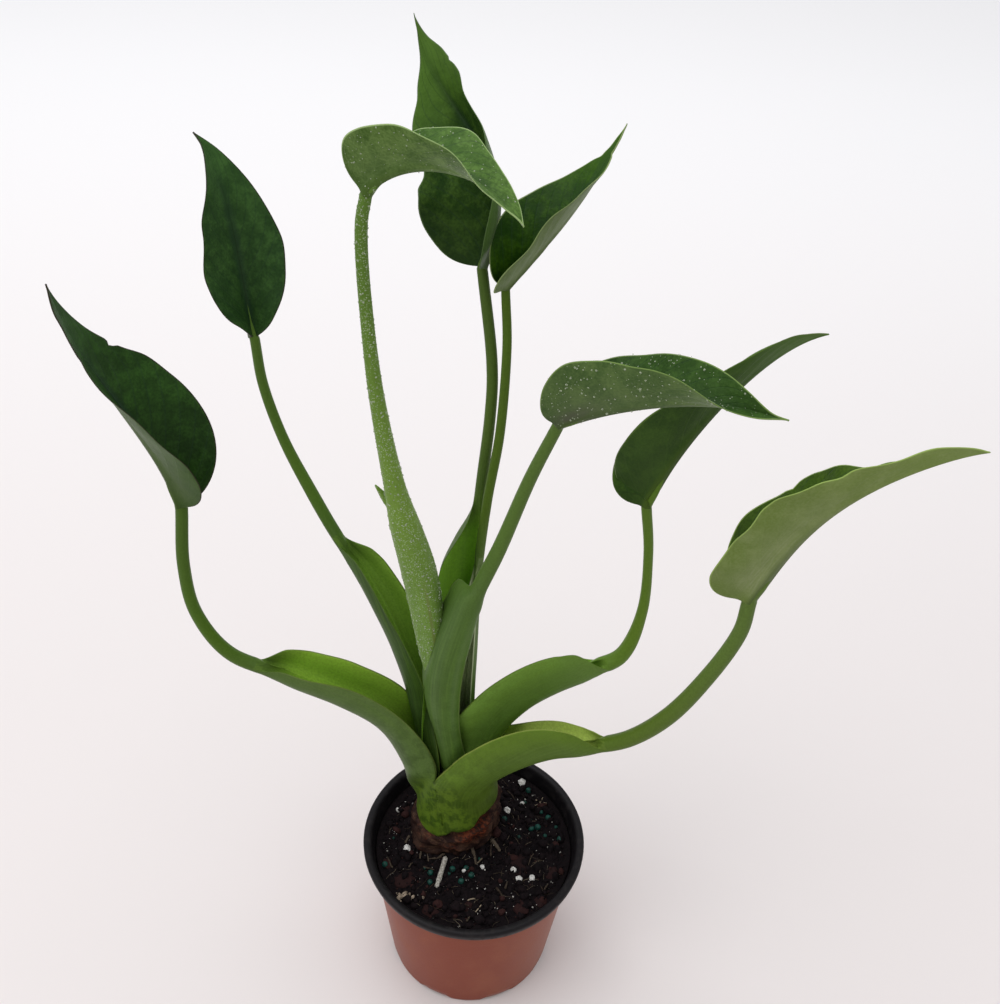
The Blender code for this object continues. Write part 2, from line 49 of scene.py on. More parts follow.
Triple = tuple[float, float, float]

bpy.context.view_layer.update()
MM = 0.001
LOG = logging.getLogger("potted_plant")
STEM = np.array((-9.0, 13.5, 0.0))
SOIL_HEIGHT = 72.5
SHOULDER_HEIGHT = 93.0
SHOULDER_TILT = 6.5
SHOULDER_HEADING = 40.0


# Numbers and curves


def unit(vectors: Array) -> Array:
    """Vectors scaled to length one."""
    return vectors / np.maximum(np.linalg.norm(vectors, axis=-1, keepdims=True), 1e-9)


def ease(start: float | Array, end: float | Array, value: float | Array) -> Array:
    """Smooth step from 0 at the start to 1 at the end."""
    share = np.clip((value - start) / (end - start), 0, 1)
    return share * share * (3 - 2 * share)


def blend(first: float | Array, second: float | Array, share: float | Array) -> Array:
    """Value between two others at a share of the way."""
    return first + (np.asarray(second) - first) * share


def heading_vector(degrees: float | Array) -> Array:
    """Level unit vector of a compass heading, counted from +X towards +Y."""
    angle = np.radians(degrees)
    return np.stack([np.cos(angle), np.sin(angle), np.zeros_like(angle)], axis=-1)


def shoulder_height(heading: float | Array) -> float | Array:
    """Height of the corm's sloping shoulder at a heading in degrees."""
    return SHOULDER_HEIGHT + SHOULDER_TILT * np.cos(np.radians(heading - SHOULDER_HEADING))


def turns_of(count: int) -> Array:
    """Angles in radians of evenly spread places round a circle."""
    return np.arange(count) * 2 * math.pi / count


def around_axis(radius: float | Array, turn: Array, height: float | Array) -> Array:
    """Places round the z axis, in the shape that the three values have together."""
    return np.stack(np.broadcast_arrays(radius * np.cos(turn), radius * np.sin(turn), height), axis=-1)


def bend(values: Triple, share: Array) -> Array:
    """Parabola through values at the start, the middle and the end."""
    low, middle, high = values
    return (low * (1 - share) * (1 - 2 * share) + 4 * middle * share * (1 - share)
            + high * share * (2 * share - 1))


@dataclass(frozen=True)
class Profile:
    """Smooth curve of one size along a leaf, which never overshoots its stations."""

    places: tuple[float, ...]
    values: tuple[float, ...]

    @classmethod
    def of(cls, stations: Sequence[Pair]) -> "Profile":
        """Profile through (place, value) pairs."""
        return cls(*(tuple(column) for column in zip(*stations)))

    def __call__(self, place: Array) -> Array:
        """Values at the places.

        Args:
            place: Where along the curve, in any shape of array.

        Returns:
            The curve's values there, level beyond the first and last stations.
        """
        x, y = np.array(self.places, float), np.array(self.values, float)
        step, rise = np.diff(x), np.diff(y) / np.diff(x)
        slope = np.zeros(len(x))
        same = rise[:-1] * rise[1:] > 0
        first, second = 2 * step[1:] + step[:-1], step[1:] + 2 * step[:-1]
        with np.errstate(divide="ignore", invalid="ignore"):
            inner = (first + second) / (first / rise[:-1] + second / rise[1:])
        slope[1:-1] = np.where(same, inner, 0)
        slope[0], slope[-1] = rise[0], rise[-1]
        at = np.clip(np.asarray(place, float), x[0], x[-1])
        index = np.clip(np.searchsorted(x, at) - 1, 0, len(x) - 2)
        share = (at - x[index]) / step[index]
        square, cube = share ** 2, share ** 3
        return ((2 * cube - 3 * square + 1) * y[index] + (3 * square - 2 * cube) * y[index + 1]
                + ((cube - 2 * square + share) * slope[index] + (cube - square) * slope[index + 1])
                * step[index])


class Ripple:
    """Smooth random field in space, the same at each run."""

    def __init__(self, seed: int) -> None:
        """Field of its own for a seed."""
        rng = np.random.default_rng(seed)
        self.order = rng.permutation(256)
        self.slopes = unit(rng.normal(size=(256, 3)))

    def _one(self, points: Array) -> Array:
        """One octave of gradient noise."""
        cell = np.floor(points).astype(int)
        part = points - cell
        fade = part ** 3 * (part * (part * 6 - 15) + 10)
        total = np.zeros(points.shape[:-1])
        for corner in np.ndindex(2, 2, 2):
            place = cell + corner
            pick = self.order[(self.order[(self.order[place[..., 0] % 256] + place[..., 1]) % 256]
                               + place[..., 2]) % 256]
            weight = np.prod(np.where(corner, fade, 1 - fade), axis=-1)
            total += weight * np.sum(self.slopes[pick] * (part - corner), axis=-1)
        return total * 1.7

    def __call__(self, points: Array, size: float, octaves: int = 1) -> Array:
        """Values of about -1 to 1.

        Args:
            points: Places in millimetres, the last axis holding x, y and z.
            size: Width of the largest lumps in millimetres.
            octaves: Number of layers, each half as wide and half as strong as the last.

        Returns:
            One value a place.
        """
        return sum(self._one(points / size * 2 ** turn + 7.3 * turn) / 2 ** turn
                   for turn in range(octaves))


def distances(points: Array) -> Array:
    """Distance of each place from the first, along the line through them."""
    return np.concatenate([[0], np.cumsum(np.linalg.norm(np.diff(points, axis=0), axis=1))])


def places_at(share: Array, stations: Array, points: Array) -> Array:
    """Places between the points that stand at the stations, one a row."""
    return np.stack([np.interp(share, stations, column) for column in points.T], axis=-1)


def smooth_route(points: Array, steps: int = 24) -> tuple[Array, Array]:
    """Dense places on a smooth curve through the points.

    Args:
        points: Places that the curve passes, one a row.
        steps: Number of steps between two of them.

    Returns:
        The dense places and their distances along the curve.
    """
    ends = np.vstack([2 * points[0] - points[1], points, 2 * points[-1] - points[-2]])
    share = (np.arange(steps) / steps)[:, None]
    runs = [0.5 * (2 * b + (c - a) * share + (2 * a - 5 * b + 4 * c - d) * share ** 2
                   + (3 * b - a - 3 * c + d) * share ** 3)
            for a, b, c, d in zip(ends, ends[1:], ends[2:], ends[3:])]
    dense = np.vstack([*runs, points[-1:]])
    return dense, distances(dense)


def turned_by(rng: np.random.Generator, count: int) -> Array:
    """Random rotation matrices."""
    w, x, y, z = unit(rng.normal(size=(count, 4))).T
    rows = [1 - 2 * (y * y + z * z), 2 * (x * y - z * w), 2 * (x * z + y * w),
            2 * (x * y + z * w), 1 - 2 * (x * x + z * z), 2 * (y * z - x * w),
            2 * (x * z - y * w), 2 * (y * z + x * w), 1 - 2 * (x * x + y * y)]
    return np.stack(rows, axis=-1).reshape(count, 3, 3)


# Meshes


@dataclass
class Shape:
    """Points in millimetres, faces and values a point of one mesh."""

    points: Array
    faces: list[Array]
    values: dict[str, Array] = field(default_factory=dict)
    slots: list[Array] = field(default_factory=list)

    @staticmethod
    def joined(shapes: Sequence["Shape"]) -> "Shape":
        """All the shapes as one."""
        starts = np.cumsum([0, *(len(shape.points) for shape in shapes)])
        faces, slots = [], []
        for start, shape in zip(starts, shapes):
            for index, group in enumerate(shape.faces):
                faces.append(group + start)
                slots.append(shape.slots[index] if shape.slots else np.zeros(len(group), int))
        keys = shapes[0].values
        return Shape(np.vstack([shape.points for shape in shapes]), faces,
                     {key: np.concatenate([shape.values[key] for shape in shapes]) for key in keys},
                     slots)

    def object(self, name: str, materials: Sequence[bpy.types.Material],
               welded: bool = False) -> bpy.types.Object:
        """Object with this mesh.

        Args:
            name: Name of the object.
            materials: Its materials, in the order of the slots.
            welded: Whether points that lie together become one.

        Returns:
            The object, linked to the scene and shaded smooth.
        """
        mesh = bpy.data.meshes.new(name)
        mesh.from_pydata(self.points * MM, [], [row for group in self.faces for row in group.tolist()])
        for key, value in self.values.items():
            kind, slot = ("FLOAT", "value") if value.ndim == 1 else ("FLOAT_VECTOR", "vector")
            mesh.attributes.new(key, kind, "POINT").data.foreach_set(slot, value.astype(float).ravel())
        if self.slots:
            mesh.polygons.foreach_set("material_index", np.concatenate(self.slots).astype(int))
        mesh.polygons.foreach_set("use_smooth", np.ones(len(mesh.polygons), bool))
        for material in materials:
            mesh.materials.append(material)
        shape = bmesh.new()
        shape.from_mesh(mesh)
        bmesh.ops.recalc_face_normals(shape, faces=shape.faces)
        if welded:
            bmesh.ops.remove_doubles(shape, verts=shape.verts, dist=1e-5)
            bmesh.ops.recalc_face_normals(shape, faces=shape.faces)
        shape.to_mesh(mesh)
        shape.free()
        item = bpy.data.objects.new(name, mesh)
        bpy.context.scene.collection.objects.link(item)
        return item


def carried(piece: bpy.types.Object, node: str) -> bpy.types.Object:
    """Hands a piece to the frame.

    Args:
        piece: The finished piece, which rides on the one body.
        node: Name of the plain piece that it replaces.

    Returns:
        The same piece.
    """
    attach(piece, "root")
    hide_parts(node)
    return piece


def ring_faces(rows: int, around: int) -> Array:
    """Quads between closed rings of points, one row of quads for each pair of rings."""
    index = np.arange(rows * around).reshape(rows, around)
    after = np.roll(index, -1, axis=1)
    return np.stack([index[:-1], after[:-1], after[1:], index[1:]], axis=-1).reshape(-1, 4)


def sheet_ends(rows: int, around: int) -> tuple[Array, Array]:
    """Faces that close the first and last ring of a thin, two-sided shell.

    Args:
        rows: Number of rings.
        around: Points in a ring: the front from edge to edge, then the back the other way.

    Returns:
        The quads and the triangles of both ends.
    """
    half = around // 2
    front = np.arange(1, half - 1)
    quads = np.stack([front, front + 1, around - front - 1, around - front], axis=-1)
    tris = np.array([[0, 1, around - 1], [half - 1, half, half + 1]])
    last = (rows - 1) * around
    return np.vstack([quads, quads + last]), np.vstack([tris, tris + last])


def ringed(front: Array, back: Array) -> Array:
    """Rows of both faces as closed rings: the front from edge to edge, then the back the other way."""
    return np.concatenate([front, back[:, 1:-1][:, ::-1]], axis=1)


def closed_sheet(front: Array, back: Array, leaf: Sequence[Array | float],
                 size: Sequence[Array | float], slots: tuple[Array | int, Array | int]) -> Shape:
    """Closed mesh of a thin sheet.

    Args:
        front: Places of its front, in rows along the leaf.
        back: Places of its back.
        leaf: Three values that the finish reads as shares.
        size: Three values that the finish reads as millimetres.
        slots: Slots of the front and the back between the rows.

    Returns:
        The shape, its ends in slot 1.
    """
    level = np.zeros(front.shape[:2])
    values = {name: np.stack([ringed(level + part, level + part).ravel() for part in parts], axis=-1)
              for name, parts in (("leaf", leaf), ("size", size))}
    rings = ringed(front, back)
    rows, around = rings.shape[:2]
    quads, tris = sheet_ends(rows, around)
    faces = np.zeros((rows - 1, 2), int)
    faces[:, 0], faces[:, 1] = slots
    return Shape(rings.reshape(-1, 3), [ring_faces(rows, around), quads, tris], values,
                 [np.repeat(faces, around // 2, axis=1).ravel(), np.ones(len(quads), int),
                  np.ones(len(tris), int)])


def end_caps(rows: int, around: int) -> list[Array]:
    """Faces that close the first and the last ring of a solid body."""
    ring = np.arange(around)[None]
    return [ring, (rows - 1) * around + ring]


def tube(points: Array, radii: Array, sides: int = 8) -> Shape:
    """Round rod along places, closed to a point at both ends.

    Args:
        points: Places along its middle.
        radii: Its radius at each place.
        sides: Number of sides.

    Returns:
        The rod's shape.
    """
    ahead = unit(np.gradient(points, axis=0))
    aside = unit(np.cross(ahead, (0.31, 0.17, 0.93)))
    up = np.cross(aside, ahead)
    turn = turns_of(sides)[None, :, None]
    rings = (points[:, None] + radii[:, None, None]
             * (np.cos(turn) * aside[:, None] + np.sin(turn) * up[:, None]))
    tips = np.stack([points[0] - ahead[0] * radii[0], points[-1] + ahead[-1] * radii[-1]])
    count = len(points) * sides
    low, high = np.arange(sides), np.arange(count - sides, count)
    fans = np.vstack([np.stack([np.full(sides, count), np.roll(low, -1), low], axis=-1),
                      np.stack([np.full(sides, count + 1), high, np.roll(high, -1)], axis=-1)])
    return Shape(np.vstack([rings.reshape(-1, 3), tips]), [ring_faces(len(points), sides), fans])


def ball(level: int) -> Shape:
    """Round ball of radius one made of even triangles."""
    shape = bmesh.new()
    bmesh.ops.create_icosphere(shape, subdivisions=level, radius=1)
    points = np.array([vertex.co for vertex in shape.verts])
    faces = np.array([[vertex.index for vertex in face.verts] for face in shape.faces])
    shape.free()
    return Shape(points, [faces])


def scattered(base: Shape, places: Array, sizes: Array, turns: Array, rough: float, seed: int) -> Shape:
    """Copies of a shape, each lumpy in its own way.

    Args:
        base: Shape of radius one.
        places: Middle of each copy.
        sizes: Three half sizes of each copy.
        turns: Rotation matrix of each copy.
        rough: Share of its size by which a copy is lumpy.
        seed: Seed of the lumps.

    Returns:
        All copies in one shape, with a value "grain" of its own for each copy.
    """
    count, corners = len(places), len(base.points)
    own = np.arange(count)[:, None, None] * np.array((11.3, 7.7, 5.1))
    lump = 1 + rough * Ripple(seed)(base.points + own, 0.9, 2)
    points = base.points * lump[..., None] * sizes[:, None]
    points = np.einsum("nij,nkj->nki", turns, points) + places[:, None]
    faces = (base.faces[0][None] + (np.arange(count) * corners)[:, None, None]).reshape(-1, 3)
    grain = np.repeat(np.random.default_rng(seed).random(count), corners)
    return Shape(points.reshape(-1, 3), [faces], {"grain": grain})


# Shader expressions


class Value:
    """Shader socket that takes part in Python expressions."""

    def __init__(self, graph: "Graph", socket: bpy.types.NodeSocket) -> None:
        """Wrapper of one output socket."""
        self.graph, self.socket = graph, socket

    def _math(self, operation: str, first: "Value | float", second: "Value | float") -> "Value":
        """Math node of two values."""
        return self.graph.node("ShaderNodeMath", {"operation": operation}, {0: first, 1: second})

    def __add__(self, other: "Value | float") -> "Value":
        """Sum."""
        return self._math("ADD", self, other)

    def __radd__(self, other: float) -> "Value":
        """Sum with a number in front."""
        return self._math("ADD", other, self)

    def __sub__(self, other: "Value | float") -> "Value":
        """Difference."""
        return self._math("SUBTRACT", self, other)

    def __rsub__(self, other: float) -> "Value":
        """Difference from a number."""
        return self._math("SUBTRACT", other, self)

    def __mul__(self, other: "Value | float") -> "Value":
        """Product."""
        return self._math("MULTIPLY", self, other)

    def __rmul__(self, other: float) -> "Value":
        """Product with a number in front."""
        return self._math("MULTIPLY", other, self)

    def __truediv__(self, other: "Value | float") -> "Value":
        """Quotient."""
        return self._math("DIVIDE", self, other)

    def __rtruediv__(self, other: float) -> "Value":
        """A number divided by this."""
        return self._math("DIVIDE", other, self)

    def __abs__(self) -> "Value":
        """Size without its sign."""
        return self._math("ABSOLUTE", self, 0.0)

    def wave(self) -> "Value":
        """Distance from the nearest whole number, from 0 to 0.5."""
        return self._math("PINGPONG", self, 0.5)

    def _step(self, start: float, end: float, low: float, high: float) -> "Value":
        """Smooth step from one value at the start to another at the end."""
        return self.graph.node("ShaderNodeMapRange", {"interpolation_type": "SMOOTHSTEP"},
                               {0: self, 1: start, 2: end, 3: low, 4: high})

    def rise(self, start: float, end: float) -> "Value":
        """Smooth step from 0 at the start to 1 at the end."""
        return self._step(start, end, 0.0, 1.0)

    def fall(self, start: float, end: float) -> "Value":
        """Smooth step from 1 at the start to 0 at the end."""
        return self._step(start, end, 1.0, 0.0)


Paint = Value | Colour


class Graph:
    """Node tree of one material or of the world."""

    def __init__(self, tree: bpy.types.NodeTree) -> None:
        """Emptied node tree."""
        self.tree = tree
        tree.nodes.clear()

    def node(self, kind: str, settings: dict[str, Any] | None = None,
             inputs: dict[Any, Any] | None = None, output: Any = 0) -> Value:
        """Adds any node.

        Args:
            kind: Type of the node.
            settings: Its own settings, or the stops of its ramp.
            inputs: Values or links of its sockets by name or number.
            output: Name or number of the socket that is wanted.

        Returns:
            The wanted output socket, wrapped.
        """
        made = self.tree.nodes.new(kind)
        for name, setting in (settings or {}).items():
            if name == "stops":
                self._set_stops(made.color_ramp, setting)
            else:
                setattr(made, name, setting)
        for key, value in (inputs or {}).items():
            if isinstance(value, Value):
                self.tree.links.new(value.socket, made.inputs[key])
            elif isinstance(value, tuple) and made.inputs[key].type == "RGBA":
                made.inputs[key].default_value = (*value, 1)
            else:
                made.inputs[key].default_value = value
        return Value(self, made.outputs[output] if len(made.outputs) else None)

    @staticmethod
    def _set_stops(ramp: bpy.types.ColorRamp, stops: Sequence[tuple[float, Colour]]) -> None:
        """Sets a ramp's stops."""
        ramp.interpolation = "EASE"
        while len(ramp.elements) < len(stops):
            ramp.elements.new(1)
        for element, (place, colour) in zip(ramp.elements, stops):
            element.position = place
            element.color = (*colour, 1)

    def mix(self, share: Value | float, first: Paint, second: Paint) -> Value:
        """Colour between two others."""
        return self.node("ShaderNodeMix", {"data_type": "RGBA"}, {0: share, 6: first, 7: second}, 2)

    def ramp(self, value: Value, stops: Sequence[tuple[float, Colour]]) -> Value:
        """Colour from a ramp."""
        return self.node("ShaderNodeValToRGB", {"stops": stops}, {0: value})

    def split(self, name: str) -> tuple[Value, Value, Value]:
        """Three parts of a vector that is stored on the mesh."""
        vector = self.node("ShaderNodeAttribute", {"attribute_name": name}, output="Vector")
        return tuple(self.part(vector, index) for index in range(3))

    def part(self, vector: Value, index: int) -> Value:
        """One of the three parts of a vector."""
        return self.node("ShaderNodeSeparateXYZ", None, {0: vector}, index)

    def stored(self, name: str) -> Value:
        """Single value that is stored on the mesh."""
        return self.node("ShaderNodeAttribute", {"attribute_name": name}, output="Fac")

    def place(self, scale: Triple = (1, 1, 1)) -> Value:
        """Object coordinates in millimetres, stretched as asked."""
        spot = self.node("ShaderNodeTexCoord", output="Object")
        return self.node("ShaderNodeVectorMath", {"operation": "MULTIPLY"},
                         {0: spot, 1: tuple(1000 * part for part in scale)})

    def joined(self, x: Value | float, y: Value | float, z: Value | float = 0.0) -> Value:
        """Vector of three values."""
        return self.node("ShaderNodeCombineXYZ", None, {0: x, 1: y, 2: z})

    def noise(self, size: float, detail: float = 2.0, where: Value | None = None,
              rough: float = 0.5) -> Value:
        """Noise with lumps of a size in millimetres."""
        return self.node("ShaderNodeTexNoise", None,
                         {"Vector": where or self.place(), "Scale": 1 / size, "Detail": detail,
                          "Roughness": rough})

    def cells(self, size: float) -> Value:
        """Distance from the middle of scattered cells of a size in millimetres."""
        return self.node("ShaderNodeTexVoronoi", None, {"Vector": self.place(), "Scale": 1 / size})

    def bump(self, height: Value, distance: float, strength: float = 1.0) -> Value:
        """Normal that a height in millimetres bends."""
        return self.node("ShaderNodeBump", None,
                         {"Height": height, "Distance": distance * MM, "Strength": strength})

    def finish(self, **sockets: Any) -> None:
        """Principled surface with its constants and links, by socket name with _ for a space."""
        names = {name.replace("_", " "): value for name, value in sockets.items()}
        shader = self.node("ShaderNodeBsdfPrincipled", None, names)
        self.node("ShaderNodeOutputMaterial", None, {0: shader})


def new_material(name: str) -> tuple[bpy.types.Material, Graph]:
    """Empty material and its graph."""
    material = bpy.data.materials.new(name)
    material.use_nodes = True
    return material, Graph(material.node_tree)


# Finishes


def toned(colour: Colour, factor: float, lift: float = 0.0) -> Colour:
    """Colour made darker or lighter."""
    return tuple(factor * part + lift for part in colour)


class Side(Enum):
    """Faces of a leaf."""

    UPPER = "upper"
    UNDER = "under"


@dataclass(frozen=True)
class LeafSkin:
    """Colours of one blade."""

    upper_dark: Colour
    upper_light: Colour
    under_dark: Colour
    under_light: Colour
    margin: Colour = (0.10, 0.15, 0.035)
    rib: Colour = (0.014, 0.036, 0.018)
    pale: Colour = (0.12, 0.16, 0.075)
    pale_share: float = 0.5
    margin_width: float = 0.4
    blush: Colour = (0.06, 0.07, 0.05)
    blush_reach: float = 0.0
    tip: float = 0.3
    shade: float = 0.3
    veins: float = 11.0
    vein_slant: float = 0.34

    def material(self, name: str, side: Side, stalk: Colour) -> bpy.types.Material:
        """Material of one face of the blade.

        Args:
            name: Name of the leaf.
            side: Which face it covers.
            stalk: Colour of the stalk's top, which runs out in the keel.

        Returns:
            The finished material.
        """
        material, graph = new_material(f"{name}_{side.value}")
        share, across, _ = graph.split("leaf")
        along, reach, edge = graph.split("size")
        flow = (share - self.vein_slant * abs(across)) * self.veins
        vein = flow.wave().fall(0.0, 0.1) * abs(across).rise(0.02, 0.15)
        if side is Side.UPPER:
            self._upper(graph, share, reach, edge, vein)
        else:
            self._under(graph, share, across, along, reach, edge, vein, stalk)
        return material

    def _upper(self, graph: Graph, share: Value, reach: Value, edge: Value, vein: Value) -> None:
        """Dark satin upper face with a bluish midrib band and a thin margin line."""
        patches = graph.noise(5, 5, rough=0.62).rise(0.4, 0.63)
        fine = graph.noise(0.9, 3).rise(0.34, 0.68)
        cloud = graph.noise(20, 2).rise(0.38, 0.62)
        deep = toned(self.upper_dark, 0.5)
        bright = toned(self.upper_light, 1.5)
        base = graph.mix(patches * 0.72 + cloud * 0.28, self.upper_dark, self.upper_light)
        base = graph.mix(fine * 0.42, base, deep)
        base = graph.mix(share.rise(0.4, 0.95) * (cloud * 0.4 + 0.6) * self.tip, base, bright)
        # painted shade: darker towards the blade's base
        base = graph.mix(share.fall(0.0, 0.5) * self.shade, base, deep)
        base = graph.mix(vein * 0.3, base, self.rib)
        band = abs(reach).fall(0.5, 3.0) * share.fall(0.5, 1.0)
        base = graph.mix(band * 0.6, base, self.rib)
        base = graph.mix(abs(reach).fall(0.1, 0.5) * share.fall(0.4, 0.9) * 0.6, base, deep)
        base = graph.mix(edge.fall(self.margin_width * 0.5, self.margin_width * 1.3), base, self.margin)
        height = fine * 0.03 - vein * 0.06 + patches * 0.12 + graph.noise(0.45, 2) * 0.02
        graph.finish(Base_Color=base, Roughness=graph.noise(4, 3) * 0.18 + 0.34,
                     Normal=graph.bump(height, 1.0, 0.8), Specular_IOR_Level=0.09)

    def _under(self, graph: Graph, share: Value, across: Value, along: Value, reach: Value,
               edge: Value, vein: Value, stalk: Colour) -> None:
        """Paler silky under face with fine veins, whitish beside the keel near the base."""
        lie = graph.joined(along * 0.09 - abs(reach) * 0.06, reach * 1.4)
        streak = graph.noise(0.8, 3, lie).rise(0.4, 0.66)
        mottle = graph.noise(8, 4, rough=0.6).rise(0.38, 0.64)
        fine = graph.noise(0.8, 3).rise(0.35, 0.7)
        deep = toned(self.under_dark, 0.6)
        bright = toned(self.under_light, 1.5)
        base = graph.mix(mottle * 0.6 + fine * 0.45, self.under_dark, self.under_light)
        base = graph.mix(share.rise(0.45, 1.0) * self.tip, base, bright)
        # painted shade: darker towards the blade's base
        base = graph.mix(share.fall(0.0, 0.3) * self.shade, base, deep)
        silk = share.fall(0.08, 0.75) * abs(across).fall(0.12, 0.85) * share.rise(0.0, 0.1)
        base = graph.mix(silk * (0.55 + streak * 0.45) * self.pale_share, base, self.pale)
        base = graph.mix(vein * 0.22, base, self.under_light)
        if self.blush_reach:
            patch = share.fall(self.blush_reach * 0.3, self.blush_reach) * abs(reach).fall(2.0, 8.0)
            base = graph.mix(patch * (0.45 + mottle * 0.4), base, self.blush)
        keel = abs(reach).fall(0.6, 2.6) * share.fall(0.02, 0.6)
        base = graph.mix(keel * 0.85, base, toned(stalk, 0.6))
        base = graph.mix(edge.fall(self.margin_width * 0.5, self.margin_width * 1.4), base, self.margin)
        height = vein * 0.06 + streak * 0.02 + graph.noise(0.5, 2) * 0.02
        graph.finish(Base_Color=base, Roughness=graph.noise(5, 3) * 0.14 + 0.42,
                     Normal=graph.bump(height, 1.0, 0.8), Specular_IOR_Level=0.08,
                     Sheen_Weight=0.05, Sheen_Roughness=0.4)


@dataclass(frozen=True)
class StalkSkin:
    """Colours of one leaf stalk and its sheath, with painted light and shade on the sheath and painted
    glints of water beads.
    """

    foot: Colour
    sheath: Colour
    stalk: Colour
    top: Colour
    # inside: partly the sheath's own yellow-green, partly painted light standing for light that shines
    # through the thin sheath
    inside: Colour
    sheath_end: float = 0.5
    margin: Colour = (0.16, 0.22, 0.05)
    margin_width: float = 0.7
    blotch: float = 0.4
    streak: float = 0.3
    # lift: painted light that makes the lower sheath paler towards its margins, or painted shade that
    # makes it darker there when below 0
    lift: float = 0.4
    # strength of a painted highlight along the middle of the sheath's wings
    painted_highlight: float = 0.15
    # strength of a painted stipple of glints from tiny water beads
    painted_bead_glints: float = 0.0
    collar_dark: Colour = (0.036, 0.07, 0.006)
    collar_light: Colour = (0.088, 0.15, 0.012)

    def material(self, name: str, side: Side) -> bpy.types.Material:
        """Material of the outer (under) or the inner (upper) face of the sheath and stalk.

        Args:
            name: Name of the leaf.
            side: Which face it covers.

        Returns:
            The finished material.
        """
        material, graph = new_material(f"{name}_stalk_{side.value}")
        share, across, free = graph.split("leaf")
        along, reach, edge = graph.split("size")
        lie = graph.joined(along * 0.03, reach * 1.0, across * 2.0)
        streak = graph.noise(0.9, 3, lie).rise(0.35, 0.75)
        blotch = graph.noise(7, 5, rough=0.6).rise(0.42, 0.62)
        fine = graph.noise(0.9, 3).rise(0.35, 0.7)
        end = self.sheath_end
        if side is Side.UNDER:
            stops = [(0.0, self.foot), (end * 0.3, self.sheath), (end * 0.85, self.sheath),
                     (end * 1.2, self.stalk), (0.97, self.top)]
            base = graph.ramp(share / 1.2, [(place / 1.2, colour) for place, colour in stops])
            foot = share.fall(0.05, end)
            # painted light and shade: the lower outer sheath is paler towards its margins when lift is
            # above 0, darker there when below 0
            painted_light = edge.fall(1.0, 15.0) * share.fall(end * 0.8, end)
            painted_edge_tone = 1.6 if self.lift > 0 else 0.45
            base = graph.mix(painted_light * abs(self.lift), base, toned(self.sheath, painted_edge_tone))
            # painted highlight: a pale streak along the middle of each wing of the sheath's outer face
            crown = abs(across).rise(0.05, 0.4) * abs(across).fall(0.45, 0.85)
            crown = crown * share.fall(end * 0.8, end * 1.1) * share.rise(end * 0.1, end * 0.5)
            base = graph.mix(crown * (streak * 0.5 + 0.5) * self.painted_highlight, base, (0.15, 0.21, 0.12))
            base = graph.mix(blotch * foot * self.blotch, base, toned(self.foot, 0.55))
            spots = graph.mix(graph.noise(5, 5, rough=0.62).rise(0.42, 0.58), self.collar_dark,
                              self.collar_light)
            base = graph.mix(1 - free, base, spots)
        else:
            # painted shade: the inside is darker towards the spine and the foot, deep in the channel,
            # and lighter towards the margins and higher up
            deep = toned(self.inside, 0.72)
            painted_light = edge.fall(2.0, 14.0) * 0.6 + share.rise(0.1, end) * 0.4
            base = graph.mix(painted_light, deep, self.inside)
            near = tuple(0.57 * sheath + 0.43 * stalk for sheath, stalk in zip(self.sheath, self.stalk))
            base = graph.mix(share.rise(end * 0.84, end * 0.97), base, near)
        # painted highlights: a pale stipple of glints from tiny water beads, and a slightly paler lower
        # stalk
        if self.painted_bead_glints:
            base = graph.mix(share.fall(0.3, 0.75) * 0.1, base, (0.25, 0.34, 0.16))
            beads = graph.cells(0.75).fall(0.1, 0.42) * graph.noise(6, 2).rise(0.3, 0.6)
            base = graph.mix(beads * self.painted_bead_glints, base, (0.46, 0.55, 0.36))
        pale = toned(self.stalk, 1.3, 0.004)
        base = graph.mix(streak * self.streak * share.fall(end * 0.7, end * 1.3), base,
                         pale if side is Side.UNDER else self.inside)
        base = graph.mix(fine * 0.22, base, toned(self.stalk, 0.5))
        rim = edge.fall(self.margin_width * 0.4, self.margin_width * 1.3)
        rim = rim * share.fall(end * 0.86, end * 0.97) * free.rise(0.3, 1.0)
        base = graph.mix(rim * 0.85, base, self.margin)
        height = streak * 0.05 + graph.noise(0.5, 2) * 0.02 + blotch * 0.03
        graph.finish(Base_Color=base, Roughness=graph.noise(5, 3) * 0.16 + 0.36,
                     Normal=graph.bump(height, 1.0, 0.8), Specular_IOR_Level=0.1)
        return material


@dataclass(frozen=True)
class MatteGrain:
    """Two-colour lumpy finish of soil, perlite and other small things."""

    dark: Colour
    light: Colour
    size: float = 1.5
    roughness: float = 0.8
    relief: float = 0.15
    level: float = 0.3
    per_grain: float = 0.0
    accent: Colour | None = None
    accent_share: float = 0.12

    def material(self, name: str) -> bpy.types.Material:
        """The finished material."""
        material, graph = new_material(name)
        lumps = graph.noise(self.size, 4)
        share = lumps.rise(0.35, 0.68)
        if self.per_grain:
            grain = graph.stored("grain")
            share = share * (1 - self.per_grain) + grain * self.per_grain
        base = graph.mix(share, self.dark, self.light)
        if self.accent:
            spot = graph.stored("grain") if self.per_grain else graph.noise(self.size * 5, 2)
            edge = 1 - self.accent_share
            base = graph.mix(spot.rise(edge - 0.02, edge + 0.02), base, self.accent)
        rough = graph.noise(self.size * 2, 2) * 0.2 + (self.roughness - 0.1)
        graph.finish(Base_Color=base, Roughness=rough,
                     Normal=graph.bump(lumps, self.relief * 4, 0.9), Specular_IOR_Level=self.level)
        return material


